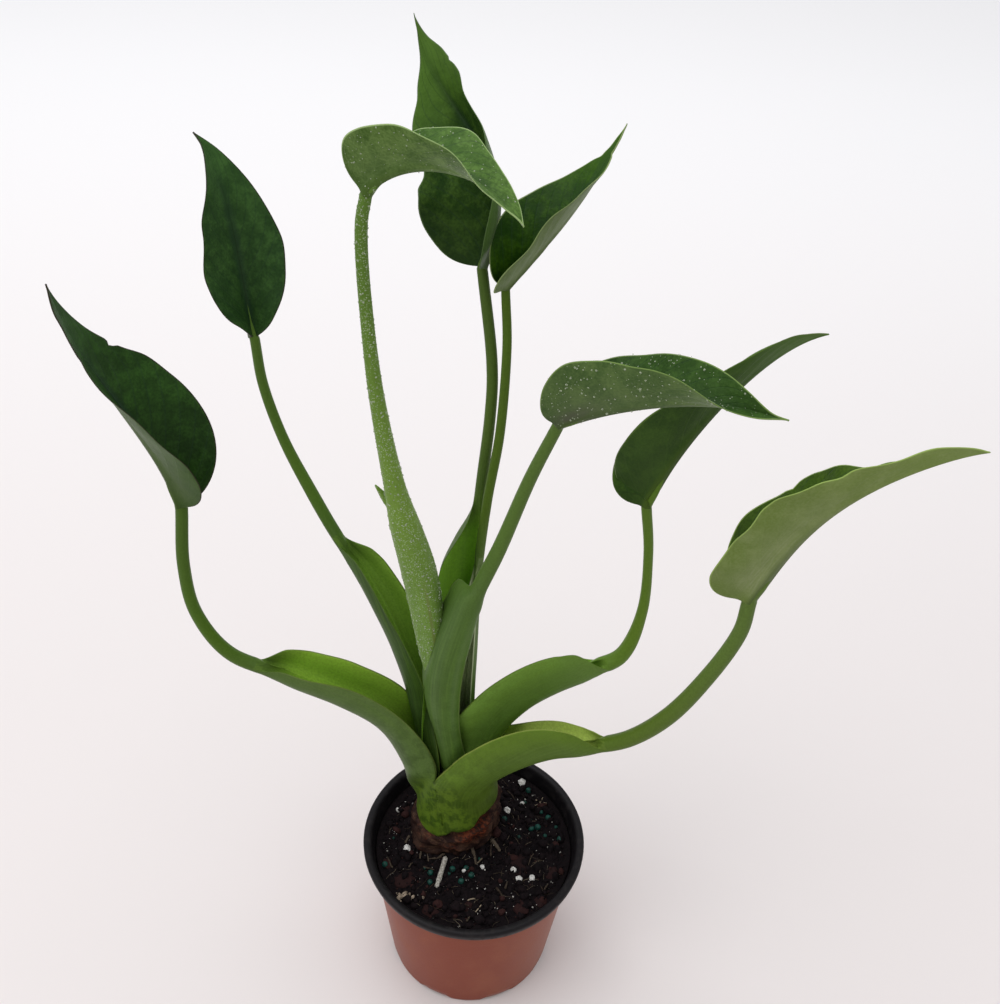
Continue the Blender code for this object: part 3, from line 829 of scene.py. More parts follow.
@dataclass(frozen=True)
class PotPlastic:
    """Frosted terracotta plastic with faint paler haze, scuffs, and painted light that makes its side
    towards +x paler.
    """

    clay: Colour = (0.215, 0.039, 0.0135)
    haze_and_painted_light: Colour = (0.3, 0.1, 0.055)

    def material(self, name: str) -> bpy.types.Material:
        """The finished material."""
        material, graph = new_material(name)
        cloud = graph.noise(16, 5, graph.place((1, 1, 0.6))).rise(0.46, 0.72)
        grain = graph.noise(0.5, 2)
        scuff = graph.noise(3, 4, graph.place((0.3, 0.3, 3))).rise(0.62, 0.75)
        side = graph.part(graph.place(), 0)
        # painted light: the side towards +x is made paler with the haze colour, besides the frosted haze
        # patches
        base = graph.mix(cloud * 0.5 + side.rise(8, 46) * 0.45, self.clay, self.haze_and_painted_light)
        base = graph.mix(scuff * 0.22, base, self.haze_and_painted_light)
        base = graph.mix(grain.rise(0.4, 0.7) * 0.12, base, toned(self.clay, 0.7))
        graph.finish(Base_Color=base, Roughness=cloud * 0.12 + grain * 0.1 + 0.42,
                     Normal=graph.bump(grain + graph.noise(2.5, 2) * 0.6, 0.05, 0.7),
                     Specular_IOR_Level=0.14, Sheen_Weight=0.12, Sheen_Roughness=0.35)
        return material


@dataclass(frozen=True)
class RimPlastic:
    """Near-black satin plastic of the rim and the inside."""

    black: Colour = (0.0064, 0.0053, 0.0064)
    dust: Colour = (0.025, 0.021, 0.021)

    def material(self, name: str) -> bpy.types.Material:
        """The finished material."""
        material, graph = new_material(name)
        dust = graph.noise(3, 5).rise(0.5, 0.72)
        fine = graph.noise(0.4, 2)
        base = graph.mix(dust * 0.5, self.black, self.dust)
        graph.finish(Base_Color=base, Roughness=dust * 0.18 + fine * 0.08 + 0.42,
                     Normal=graph.bump(fine, 0.04, 0.6), Specular_IOR_Level=0.17)
        return material


@dataclass(frozen=True)
class CormBark:
    """Brown papery skin with a reddish patch."""

    dark: Colour = (0.016, 0.006, 0.0045)
    light: Colour = (0.06, 0.028, 0.017)
    tan: Colour = (0.13, 0.075, 0.042)
    red: Colour = (0.13, 0.024, 0.007)
    red_place: Triple = (0.5, -5.0, 92.0)

    def material(self, name: str) -> bpy.types.Material:
        """The finished material."""
        material, graph = new_material(name)
        bands = graph.noise(3.2, 5, graph.place((0.45, 0.45, 1.4)), 0.62)
        scale = graph.noise(1.1, 4, graph.place((0.6, 0.6, 1.5)), 0.6)
        away = graph.node("ShaderNodeVectorMath", {"operation": "DISTANCE"},
                          {0: graph.place(), 1: self.red_place}, "Value")
        red = away.fall(5.0, 13.0) + graph.noise(7, 3).rise(0.52, 0.66) * 0.4
        base = graph.mix(bands.rise(0.42, 0.62), self.dark, self.light)
        base = graph.mix(scale.rise(0.5, 0.68) * bands.rise(0.4, 0.55) * 0.6, base, self.tan)
        base = graph.mix(red * 0.75, base, graph.mix(scale.rise(0.4, 0.6), self.dark, self.red))
        height = graph.part(graph.place(), 2)
        base = graph.mix(height.fall(75.0, 85.0) * 0.75, base, toned(self.dark, 0.5))
        graph.finish(Base_Color=base, Roughness=scale * 0.3 + 0.55,
                     Normal=graph.bump(bands + scale * 0.6, 0.8, 0.9), Specular_IOR_Level=0.12)
        return material


@dataclass(frozen=True)
class Water:
    """Clear water of the drops."""

    def material(self, name: str) -> bpy.types.Material:
        """The finished material."""
        material, graph = new_material(name)
        graph.finish(Base_Color=(0.5, 0.58, 0.4), Roughness=0.12, Specular_IOR_Level=0.6, Alpha=0.55,
                     Coat_Weight=0.3, Coat_Roughness=0.05)
        return material


# Leaves

TRIM_PLACES = (0, 0.06, 0.14, 0.24, 0.34, 0.44, 0.54, 0.64, 0.74, 0.84, 0.92, 1)


@dataclass
class Blade:
    """Cupped leaf blade that tapers to a fine point.

    Sizes are in millimetres and angles in degrees. Three values run from the base over the middle to
    the tip, and a pair holds the left and the right half as seen from the base.
    """

    base: Triple
    length: float
    heading: Triple
    pitch: Triple
    roll: Triple
    half_width: Pair
    fold_left: Triple
    fold_right: Triple
    curl: Pair
    swell: Pair
    lobes: Pair
    trim_left: tuple[float, ...]
    trim_right: tuple[float, ...]
    waves: Triple = (0.5, 4.0, 0.0)
    nicks: tuple[tuple[float, float, float, float], ...] = ()
    rows: int = 104
    columns: int = 20
    thickness: float = 0.5
    quilts: int = 9
    quilt_depth: float = 0.11

    def frames(self, share: Array) -> tuple[Array, Array, Array, Array]:
        """Places and axes along the midrib.

        Args:
            share: Shares of the blade's length.

        Returns:
            The places, and the directions ahead, to the left and up, one a row each.
        """
        dense = np.linspace(0, 1, 600) ** 1.4
        ahead = self._axes(dense)[0]
        steps = (ahead[1:] + ahead[:-1]) / 2 * (np.diff(dense) * self.length)[:, None]
        run = np.array(self.base) + np.vstack([np.zeros(3), np.cumsum(steps, axis=0)])
        return places_at(share, dense, run), *self._axes(share)

    def _axes(self, share: Array) -> tuple[Array, Array, Array]:
        """Directions ahead, to the left and up along the midrib."""
        heading, pitch, roll = (np.radians(bend(values, share))[:, None]
                                for values in (self.heading, self.pitch, self.roll))
        level = np.hstack([np.cos(heading), np.sin(heading), 0 * heading])
        ahead = np.cos(pitch) * level + np.sin(pitch) * np.array((0, 0, 1.0))
        left = np.hstack([-np.sin(heading), np.cos(heading), 0 * heading])
        up = np.cross(ahead, left)
        return ahead, np.cos(roll) * left + np.sin(roll) * up, np.cos(roll) * up - np.sin(roll) * left

    def fullness(self, share: Array) -> Array:
        """Width at each share against the greatest one."""
        start, end = self.swell
        peak = start / (start + end)
        return (share / peak) ** start * ((1 - share) / (1 - peak)) ** end

    def reach(self, side: int, share: Array) -> Array:
        """Width of one half of the blade, with its small nicks."""
        index = 0 if side > 0 else 1
        trim = (self.trim_left, self.trim_right)[index]
        width = (self.half_width[index] * self.fullness(share)
                 + Profile(TRIM_PLACES, (0, *trim, 0))(share))
        for nick_side, place, span, depth in self.nicks:
            if nick_side == side:
                width = width - depth * np.exp(-((share - place) / span) ** 2)
        return np.maximum(width, 0.12)

    def half_sheet(self, side: int, share: Array, part: Array) -> tuple[Array, Array]:
        """Middle surface of one half.

        Args:
            side: 1 for the left half, -1 for the right one.
            share: Shares of the length.
            part: Shares of the half width, from the midrib to the margin.

        Returns:
            The places and the distances from the midrib.
        """
        places, ahead, left, up = self.frames(share)
        full = self.fullness(share)[:, None]
        width = self.reach(side, share)[:, None]
        index = 0 if side > 0 else 1
        fold = bend((self.fold_left, self.fold_right)[index], share)[:, None]
        angle = np.radians(fold + self.curl[index] * (part[None] - 0.3) * full)
        step = np.diff(part)[None] * width
        sides = [np.cumsum((turn[:, 1:] + turn[:, :-1]) / 2 * step, axis=1)
                 for turn in (np.cos(angle), np.sin(angle))]
        out, rise = (np.hstack([np.zeros((len(share), 1)), item])[..., None] for item in sides)
        back = (self.lobes[index] * (1 - share[:, None]) ** 6 * full * part[None] ** 1.5)[..., None]
        sheet = (places[:, None] + side * out * left[:, None] + rise * up[:, None]
                 - back * ahead[:, None])
        return sheet, width * part[None]

    def shape(self, keel: float) -> Shape:
        """Closed mesh of the blade.

        Args:
            keel: Half thickness of the stalk where the blade starts.

        Returns:
            The shape, its upper faces in slot 0 and its under faces in slot 1.
        """
        run = np.linspace(0, 1, self.rows + 1)
        share = 0.62 * (1 - np.cos(run * math.pi / 2)) + 0.38 * (1 - np.cos(run * math.pi)) / 2
        share = np.clip(share, 0.0004, 0.9996)
        run = np.linspace(0, 1, self.columns + 1)
        part = 0.45 * run + 0.55 * np.sin(run * math.pi / 2)
        left, left_reach = self.half_sheet(1, share, part)
        right, right_reach = self.half_sheet(-1, share, part)
        sheet = np.concatenate([right[:, :0:-1], left], axis=1)
        reach = np.concatenate([-right_reach[:, :0:-1], left_reach], axis=1)
        across = np.concatenate([-part[:0:-1], part])[None] + 0 * reach
        edge = np.where(across < 0, right_reach[:, -1:], left_reach[:, -1:]) * (1 - abs(across))
        up = self._normals(sheet, share)
        height, count, start = self.waves
        flow = share[:, None] * count + start + 0.21 * np.sign(across)
        sheet = sheet + up * (height * np.abs(across) ** 2.5 * np.sin(2 * math.pi * flow)
                              * ease(0, 0.12, share[:, None]) * self.fullness(share)[:, None])[..., None]
        quilt = np.cos(2 * math.pi * self.quilts * (share[:, None] - 0.3 * np.abs(across)))
        quilt = quilt * np.abs(across) ** 0.5 * (1 - across ** 4) * self.fullness(share)[:, None]
        sheet = sheet - up * (self.quilt_depth * quilt)[..., None]
        thin = np.sqrt(np.clip(1 - across ** 12, 0, 1)) * self.thickness / 2
        rib = keel * np.clip(1 - share / 0.92, 0, 1)[:, None] ** 1.3 * 0.9 + 0.15
        above = thin * (1 - 0.3 * np.exp(-(reach / (0.6 + rib * 0.5)) ** 2))
        below = thin + rib * np.exp(-(reach / (1.15 * rib + 0.3)) ** 2) * (1 - across ** 4)
        front, back = sheet + up * above[..., None], sheet - up * below[..., None]
        return closed_sheet(front, back, (share[:, None], across, 0.0),
                            (share[:, None] * self.length, reach, edge), (0, 1))

    def _normals(self, sheet: Array, share: Array) -> Array:
        """Upward directions all over the middle surface."""
        ahead = np.gradient(sheet, axis=0)
        aside = np.gradient(sheet, axis=1)
        up = unit(np.cross(ahead, aside))
        middle = self._axes(share)[2]
        sign = np.sign(np.sum(up[:, self.columns] * middle, axis=-1))
        return up * sign[:, None, None]


@dataclass
class Stalk:
    """Leaf stalk with the sheath at its foot.

    The route starts at the collar and ends under the blade. A channel station holds the share of the
    sheath, the radius it is bent to, and the reach of its right and its left wing. The foot is the
    height where a stalk without a collar starts.
    """

    heading: float
    route: tuple[Triple, ...]
    girth: tuple[Pair, ...]
    sheath_end: float = 0.0
    channel: tuple[tuple[float, float, float, float], ...] = ()
    mouth: float = 0.25
    seam: float = 0.12
    edge: float = 0.8
    foot: float = 101.4
    rows: int = 210
    sides: int = 28

    def start(self, collar: "Collar | None") -> Array:
        """Place where the stalk starts."""
        height = shoulder_height(self.heading) - collar.sink if collar else self.foot
        out = self.channel[0][1] - self.girth[0][1] if self.channel else 0
        return STEM + heading_vector(self.heading) * out + (0, 0, height)

    def spine(self, blade: Blade, collar: "Collar | None") -> tuple[Array, Array, Array, Array]:
        """Middle line of the stalk and of the keel that it runs out in under the blade.

        Args:
            blade: The blade that the stalk carries.
            collar: The foot that it shares with another sheath, if any.

        Returns:
            The shares of the stalk's length, beyond 1 under the blade, the places, the directions and
            the half thicknesses.
        """
        dense, lengths = smooth_route(np.vstack([self.start(collar), *self.route]))
        trial = np.linspace(0, 1, 2000)
        crowd = 1 + 2.5 * np.exp(-((trial - self.sheath_end) / 0.05) ** 2)
        crowd = np.concatenate([[0], np.cumsum((crowd[1:] + crowd[:-1]) / 2)])
        share = np.interp(np.linspace(0, 1, self.rows + 1), crowd / crowd[-1], trial)
        places = places_at(share * lengths[-1], lengths, dense)
        half = Profile.of(self.girth)(share)
        under = np.linspace(0.01, 0.2, 16)
        spots, _, _, up = blade.frames(under)
        taper = half[-1] * (1 - under / 0.21) ** 0.8 * 0.92 + 0.05
        spots = spots - up * (taper * 0.5 * ease(0, 0.1, under) + 0.1)[:, None]
        share = np.concatenate([share, 1 + under * blade.length / lengths[-1]])
        places, half = np.vstack([places, spots]), np.concatenate([half, taper])
        ahead = unit(np.gradient(places, axis=0))
        level = ease(0, 0.12, share)[:, None]
        ahead = unit(blend(np.array((0, 0, 1.0)), ahead, level)) if self.channel else ahead
        return share, places, ahead, half

    def section(self, share: Array, half: Array, across: Array) -> tuple[Array, Array, Array]:
        """Outer and inner face of the sheath or the round stalk.

        Args:
            share: Shares of the stalk's length as a column.
            half: Half thicknesses as a column.
            across: Places from the right edge at -1 to the left one at 1, as a row.

        Returns:
            The outer places and the inner places, each with (side, out) last, and the reach from the
            spine.
        """
        quarter = across * math.pi / 2
        round_side = half * np.sin(quarter)
        outer_round = np.stack([round_side, half * np.cos(quarter)], axis=-1)
        inner_round = np.stack([round_side, -half * np.cos(quarter)], axis=-1)
        if not self.channel:
            return outer_round, inner_round, half * quarter
        run = share / self.sheath_end
        places, radii, rights, lefts = zip(*self.channel)
        radius = Profile(places, radii)(run)
        radius = blend(radius, np.minimum(radius, 1.12 * half), ease(1 - self.mouth, 1, run))
        least = 1.57 * half
        shut = np.clip(1 - (np.clip(run - 1 + self.mouth, 0, None) / self.mouth) ** 2, 0, 1) ** 0.8
        wing = np.where(across < 0, Profile(places, rights)(run), Profile(places, lefts)(run))
        wing = np.maximum(least + (wing - least) * shut, least)
        reach = np.abs(across) * wing
        wall = np.radians(blend(180, 88, ease(0, 0.5, run)))
        bent = np.minimum(reach, radius * wall)
        angle, straight = bent / radius, reach - bent
        side = radius * np.sin(angle) + straight * np.cos(angle)
        deep = radius * (1 - np.cos(angle)) + straight * np.sin(angle)
        sign = np.sign(across)
        outward = np.stack([np.sin(angle) * sign, np.cos(angle)], axis=-1)
        spine = np.exp(-(reach / (1.2 * half)) ** 2)
        thick = (self.edge * np.sqrt(1 - across ** 6) * (1 - 0.35 * np.abs(across))
                 + (2 * half - self.edge) * spine)
        outer = np.stack([side * sign, half - deep], axis=-1)
        inner = outer - outward * thick[..., None]
        closed = np.maximum(ease(2.4 * half, least * 1.01, wing), ease(1 - self.seam, 1, run))[..., None]
        return (blend(outer, outer_round, closed), blend(inner, inner_round, closed),
                reach * sign)

    def shape(self, blade: Blade, collar: "Collar | None" = None) -> Shape:
        """Closed mesh of the stalk.

        Args:
            blade: The blade that the stalk carries.
            collar: The foot that it shares with another sheath, if any.

        Returns:
            The shape, its inner faces in slot 0 and its outer faces in slot 1.
        """
        share, places, ahead, half = self.spine(blade, collar)
        run = np.linspace(-1, 1, self.sides + 1)
        across = (0.7 * run + 0.3 * np.sin(run * math.pi / 2))[None]
        outer, inner, reach = self.section(share[:, None], half[:, None], across)
        side = self._sides(ahead)
        out = np.cross(side, ahead)
        front, back = (places[:, None] + face[..., :1] * side[:, None] + face[..., 1:] * out[:, None]
                       for face in (outer, inner))
        free = np.ones(reach.shape)
        if collar:
            front, back, free = collar.fitted(front, back, share)
        wing = np.where(across < 0, np.abs(reach[:, :1]), np.abs(reach[:, -1:]))
        return closed_sheet(front, back, (share[:, None], across, free),
                            (distances(places)[:, None], reach, wing - np.abs(reach)),
                            (1, share[:-1] > self.sheath_end))

    def _sides(self, ahead: Array) -> Array:
        """Leftward directions along the stalk."""
        left = heading_vector(self.heading + 90)
        if self.channel:
            return unit(left - ahead * (ahead @ left)[:, None])
        sides = []
        for direction in ahead:
            left = unit(left - direction * np.dot(left, direction))
            sides.append(left)
        return np.array(sides)


@dataclass(frozen=True)
class Collar:
    """Foot that the two outer sheaths share, drawn close round the stem, with a ragged hem.

    The hem holds (heading, height) pairs. In front the sheaths part higher up than elsewhere. They
    start a little, the sink, below the corm's shoulder.
    """

    radius: float = 18.4
    hem: tuple[Pair, ...] = (
        (-205, 86), (-180, 83.6), (-160, 82.4), (-142, 82.4), (-126, 84), (-111, 86.4), (-103, 88),
        (-97, 91.5), (-93, 93.4), (-89, 91.8), (-82, 91.4), (-74, 91.8), (-66, 92), (-61, 95),
        (-56, 100.4), (-45, 100.2), (-31, 100.6), (0, 98), (40, 97), (90, 93), (130, 90), (155, 86))
    parting: float = -116.0
    low: float = 88.0
    rise: float = 30.0
    tuck: float = 0.0
    sink: float = 0.35
    seed: int = 3

    def fitted(self, outer: Array, inner: Array, share: Array) -> tuple[Array, Array, Array]:
        """Faces of a sheath with the foot drawn onto the shared collar.

        Args:
            outer: Places of the outer face, rows along the sheath.
            inner: Places of the inner face.
            share: Share of the stalk's length of each row.

        Returns:
            The moved outer and inner places, and 0 on the collar to 1 well above it.
        """
        thick = inner - outer
        away = outer - STEM
        heading = np.degrees(np.arctan2(away[..., 1], away[..., 0]))
        places, heights = (np.array(column) for column in zip(*self.hem))
        turned = np.where(heading > places[-1], heading - 360, heading)
        wanted = np.interp(turned[0], places, heights)
        ring = heading_vector(heading[0]) * 19
        wanted = wanted + Ripple(self.seed)(ring, 3.5, 3) * 0.9
        drop = (outer[0][:, 2] - wanted)[None] * (1 - ease(0, 0.1, share))[:, None]
        height = outer[..., 2] - drop
        window = np.exp(-((turned - self.parting) / 44) ** 4)
        low = self.low + self.rise * window
        free = ease(low, low + 20 - 6 * window, height)
        reach = np.linalg.norm(away[..., :2], axis=-1)
        waist = self.radius + 0.9 * ease(104, 84, height) + Ripple(self.seed + 1)(outer, 9, 2) * 0.25
        margin = ease(0.86, 1, np.abs(np.linspace(-1, 1, outer.shape[1])))
        reach = blend(waist - self.tuck * margin[None], reach, free)
        moved = STEM + heading_vector(heading) * reach[..., None]
        moved[..., 2] = height
        return moved, moved + thick, free


@dataclass
class Leaf:
    """One leaf: its stalk with the sheath, and its blade."""

    name: str
    stalk: Stalk
    blade: Blade
    stalk_skin: StalkSkin
    blade_skin: LeafSkin
    collar: Collar | None = None
    spur: tuple[Triple, ...] = ()

    def build(self) -> list[bpy.types.Object]:
        """Builds and dresses both pieces.

        Returns:
            The stalk and the blade.
        """
        shape = self.stalk.shape(self.blade, self.collar)
        if self.spur:
            shape = Shape.joined([shape, self._spur()])
        stalk = shape.object(f"{self.name}_stalk",
                             [self.stalk_skin.material(self.name, side) for side in Side])
        keel, top = self.stalk.girth[-1][1], self.stalk_skin.top
        blade = self.blade.shape(keel).object(
            f"{self.name}_blade", [self.blade_skin.material(self.name, side, top) for side in Side])
        LOG.info("leaf %s: stalk and blade", self.name)
        return [carried(piece, f"{kind}_{self.name}")
                for piece, kind in ((stalk, "stalk"), (blade, "blade"))]

    def _spur(self) -> Shape:
        """Small horn on the side of the stalk."""
        dense, _ = smooth_route(np.array(self.spur), 6)
        taper = np.linspace(1, 0.06, len(dense)) ** 0.8 * 3.1
        shape = tube(dense, taper, 14)
        count = len(shape.points)
        shape.values = {"leaf": np.tile((0.72, 0.3, 1.0), (count, 1)),
                        "size": np.tile((200.0, 1.0, 9.0), (count, 1))}
        shape.slots = [np.ones(len(group), int) for group in shape.faces]
        return shape


# Pot and what is in it


@dataclass
class Pot:
    """Thin tapered nursery pot with a black rolled rim, a notched foot and drain holes.

    The floor holds the heights of its lower and its upper face. A notch is full up to the first angle
    of its span, in degrees from its middle, and gone at the second.
    """

    foot: float = 39.9
    wall_top: float = 48.4
    wall: float = 0.8
    floor: Pair = (0.2, 2.0)
    segments: int = 144
    notches: int = 8
    notch_height: float = 2.6
    notch_span: Pair = (8.4, 11.2)
    notch_reach: float = 2.7
    holes: int = 6
    hole_radius: float = 3.0
    hole_ring: float = 22.0

    @staticmethod
    def settled(points: Array) -> Array:
        """Places in the pot as it stands, pressed a little flat at the rim and leaning back."""
        share = np.clip(points[..., 2] / 80, 0, 1)
        moved = points.copy()
        moved[..., 1] = points[..., 1] * (1 - 0.022 * share) + 1.6 * share - 0.6
        return moved

    def wall_radius(self, height: float) -> float:
        """Outer radius of the wall at a height."""
        return self.foot + (self.wall_top - self.foot) * height / 77.5

    def profile(self) -> list[tuple[float, float, int]]:
        """Radius, height and slot of the turned outline, from the foot outside to the floor inside."""
        outside = [(self.foot - 1.2, 0, 0), (self.foot - 0.5, 0.15, 0), (self.foot - 0.05, 0.7, 0)]
        outside += [(self.wall_radius(z), z, 0) for z in (1.6, 2.8, 6, 14, 24, 36, 48, 60, 68, 72.6)]
        outside += [(self.wall_radius(73.4) + 0.15, 73.4, 0), (self.wall_radius(74.2) + 0.55, 74.0, 0),
                    (self.wall_radius(74.6) + 0.75, 74.6, 0), (self.wall_radius(75) + 0.7, 75.2, 1)]
        rim = [(49.8, 75.3, 1), (50.8, 75.2, 1), (51.5, 75.35, 1), (51.85, 75.9, 1), (52.1, 76.8, 1),
               (52.4, 78.2, 1), (52.42, 79.2, 1), (52.1, 80.0, 1), (51.4, 80.4, 1), (50.5, 80.45, 1),
               (49.6, 80.35, 1), (48.9, 79.9, 1), (48.4, 79.2, 1), (48.1, 78.2, 1), (47.8, 76.8, 1),
               (47.6, 75.5, 1)]
        inside = [(self.wall_radius(z) - self.wall, z, 1) for z in (74, 72, 68, 50, 25, 4)]
        inside += [(self.foot - self.wall - 1, 2.4, 1), (self.foot - self.wall - 2.2, 2.0, 1)]
        return outside + rim + inside

    def shape(self) -> Shape:
        """Closed mesh of the pot, terracotta in slot 0 and black in slot 1."""
        outline = self.profile()
        turn = turns_of(self.segments)
        radii, heights, slots = (np.array(column)[:, None] for column in zip(*outline))
        points = around_axis(radii, turn, heights)
        pitch = 360 / self.notches
        phase = (np.degrees(turn) - pitch / 2) % pitch
        lift = self.notch_height * (1 - ease(*self.notch_span, np.minimum(phase, pitch - phase)))
        points[..., 2] += np.clip(self.notch_reach - heights, 0, None) / self.notch_reach * lift
        points = self.settled(points)
        shell = Shape(points.reshape(-1, 3), [ring_faces(len(outline), self.segments)], {},
                      [np.repeat(slots[1:], self.segments)])
        return Shape.joined([shell, self._floor(points[-1], self.floor[1], 1),
                             self._floor(points[0], self.floor[0], 0), *self._hole_walls()])

    def _hole_rings(self) -> Array:
        """Outlines of the drain holes."""
        middle = heading_vector(np.arange(self.holes) * 360 / self.holes) * self.hole_ring
        return middle[:, None] + around_axis(self.hole_radius, turns_of(20), 0)

    def _floor(self, ring: Array, height: float, slot: int) -> Shape:
        """One face of the floor, with its holes left open."""
        holes = self._hole_rings()
        middles = holes.mean(axis=1)
        steps = np.arange(-7, 8) * 6.0
        grid = [(x, y, 0) for x in steps for y in steps
                if math.hypot(x, y) < ring[:, 0].max() - 3
                and np.linalg.norm(middles - (x, y, 0), axis=1).min() > self.hole_radius + 1]
        loops = [ring, *holes]
        spots = [Vector(spot[:2]) for loop in (*loops, grid) for spot in loop]
        edges, start = [], 0
        for loop in loops:
            count = len(loop)
            edges += [(start + i, start + (i + 1) % count) for i in range(count)]
            start += count
        verts, _, faces, *_ = delaunay_2d_cdt(spots, edges, [], 1, 1e-5)
        points = np.array([(*spot, height) for spot in verts])
        centres = np.array([points[list(face)].mean(axis=0) for face in faces])
        away = np.linalg.norm((centres[:, None] - middles)[..., :2], axis=-1).min(axis=1)
        kept = np.array([face for face, distance in zip(faces, away)
                         if distance > self.hole_radius - 0.1])
        order = [int(np.argmin(np.linalg.norm(points[:, :2] - spot[:2], axis=1))) for spot in ring]
        points[order, 2] = ring[:, 2]
        return Shape(points, [kept], {}, [np.full(len(kept), slot)])

    def _hole_walls(self) -> list[Shape]:
        """Short walls of the drain holes."""
        low, high = self.floor
        return [Shape(np.vstack([ring + (0, 0, low), ring + (0, 0, high)]), [ring_faces(2, len(ring))],
                      {}, [np.zeros(len(ring), int)]) for ring in self._hole_rings()]

    def build(self) -> list[bpy.types.Object]:
        """Builds and dresses the pot."""
        plastics = [PotPlastic().material("terracotta_plastic"), RimPlastic().material("black_plastic")]
        pot = self.shape().object("nursery_pot", plastics, welded=True)
        LOG.info("pot: shell, rim and floor")
        return [carried(pot, "pot")]


@dataclass
class Corm:
    """Brown, papery stem foot."""

    top: float = 100.8
    rows: int = 150
    sides: int = 160

    def build(self) -> list[bpy.types.Object]:
        """Builds and dresses the corm."""
        share = np.linspace(0.004, 0.996, self.rows)[:, None]
        turn = turns_of(self.sides)[None]
        shoulder = shoulder_height(np.degrees(turn))
        stations = (0, 0.14, 0.36, 0.5, 0.8, 1)
        levels = (self.top, self.top, shoulder, shoulder - 2.5, 62.0, 58.0)
        radius = Profile(stations, (0, 14.3, 14.5, 20.3, 20.5, 0))(share)
        height = 0 * turn
        for start, end, low, high in zip(stations, stations[1:], levels, levels[1:]):
            height = np.where(share >= start, blend(low, high, (share - start) / (end - start)), height)
        points = STEM + around_axis(radius, turn, height)
        out = around_axis(1.0, turn, 0.0)
        rings = Ripple(21)(points * (0.3, 0.3, 1.0), 3.2, 3)
        lumps = Ripple(22)(points, 9, 3)
        flake = np.mod((points[..., 2] + 5.0 * Ripple(23)(points, 13, 3)) / 6.0, 1)
        left = np.exp(-((np.degrees(turn) - 222) / 34) ** 2) * ease(90, 76, points[..., 2])
        side = ease(0.38, 0.5, share) * ease(1.0, 0.9, share)
        swell = lumps * 1.2 + rings * 0.7 - 0.9 + 1.1 * ease(0, 0.85, flake) * ease(1.0, 0.9, flake)
        points = points + out * ((swell + 3.2 * left * (1 + 0.5 * lumps)) * side)[..., None]
        shape = Shape(points.reshape(-1, 3), [ring_faces(self.rows, self.sides),
                                              *end_caps(self.rows, self.sides)])
        corm = shape.object("papery_corm", [CormBark().material("corm_bark")])
        LOG.info("corm")
        return [carried(corm, "corm")]


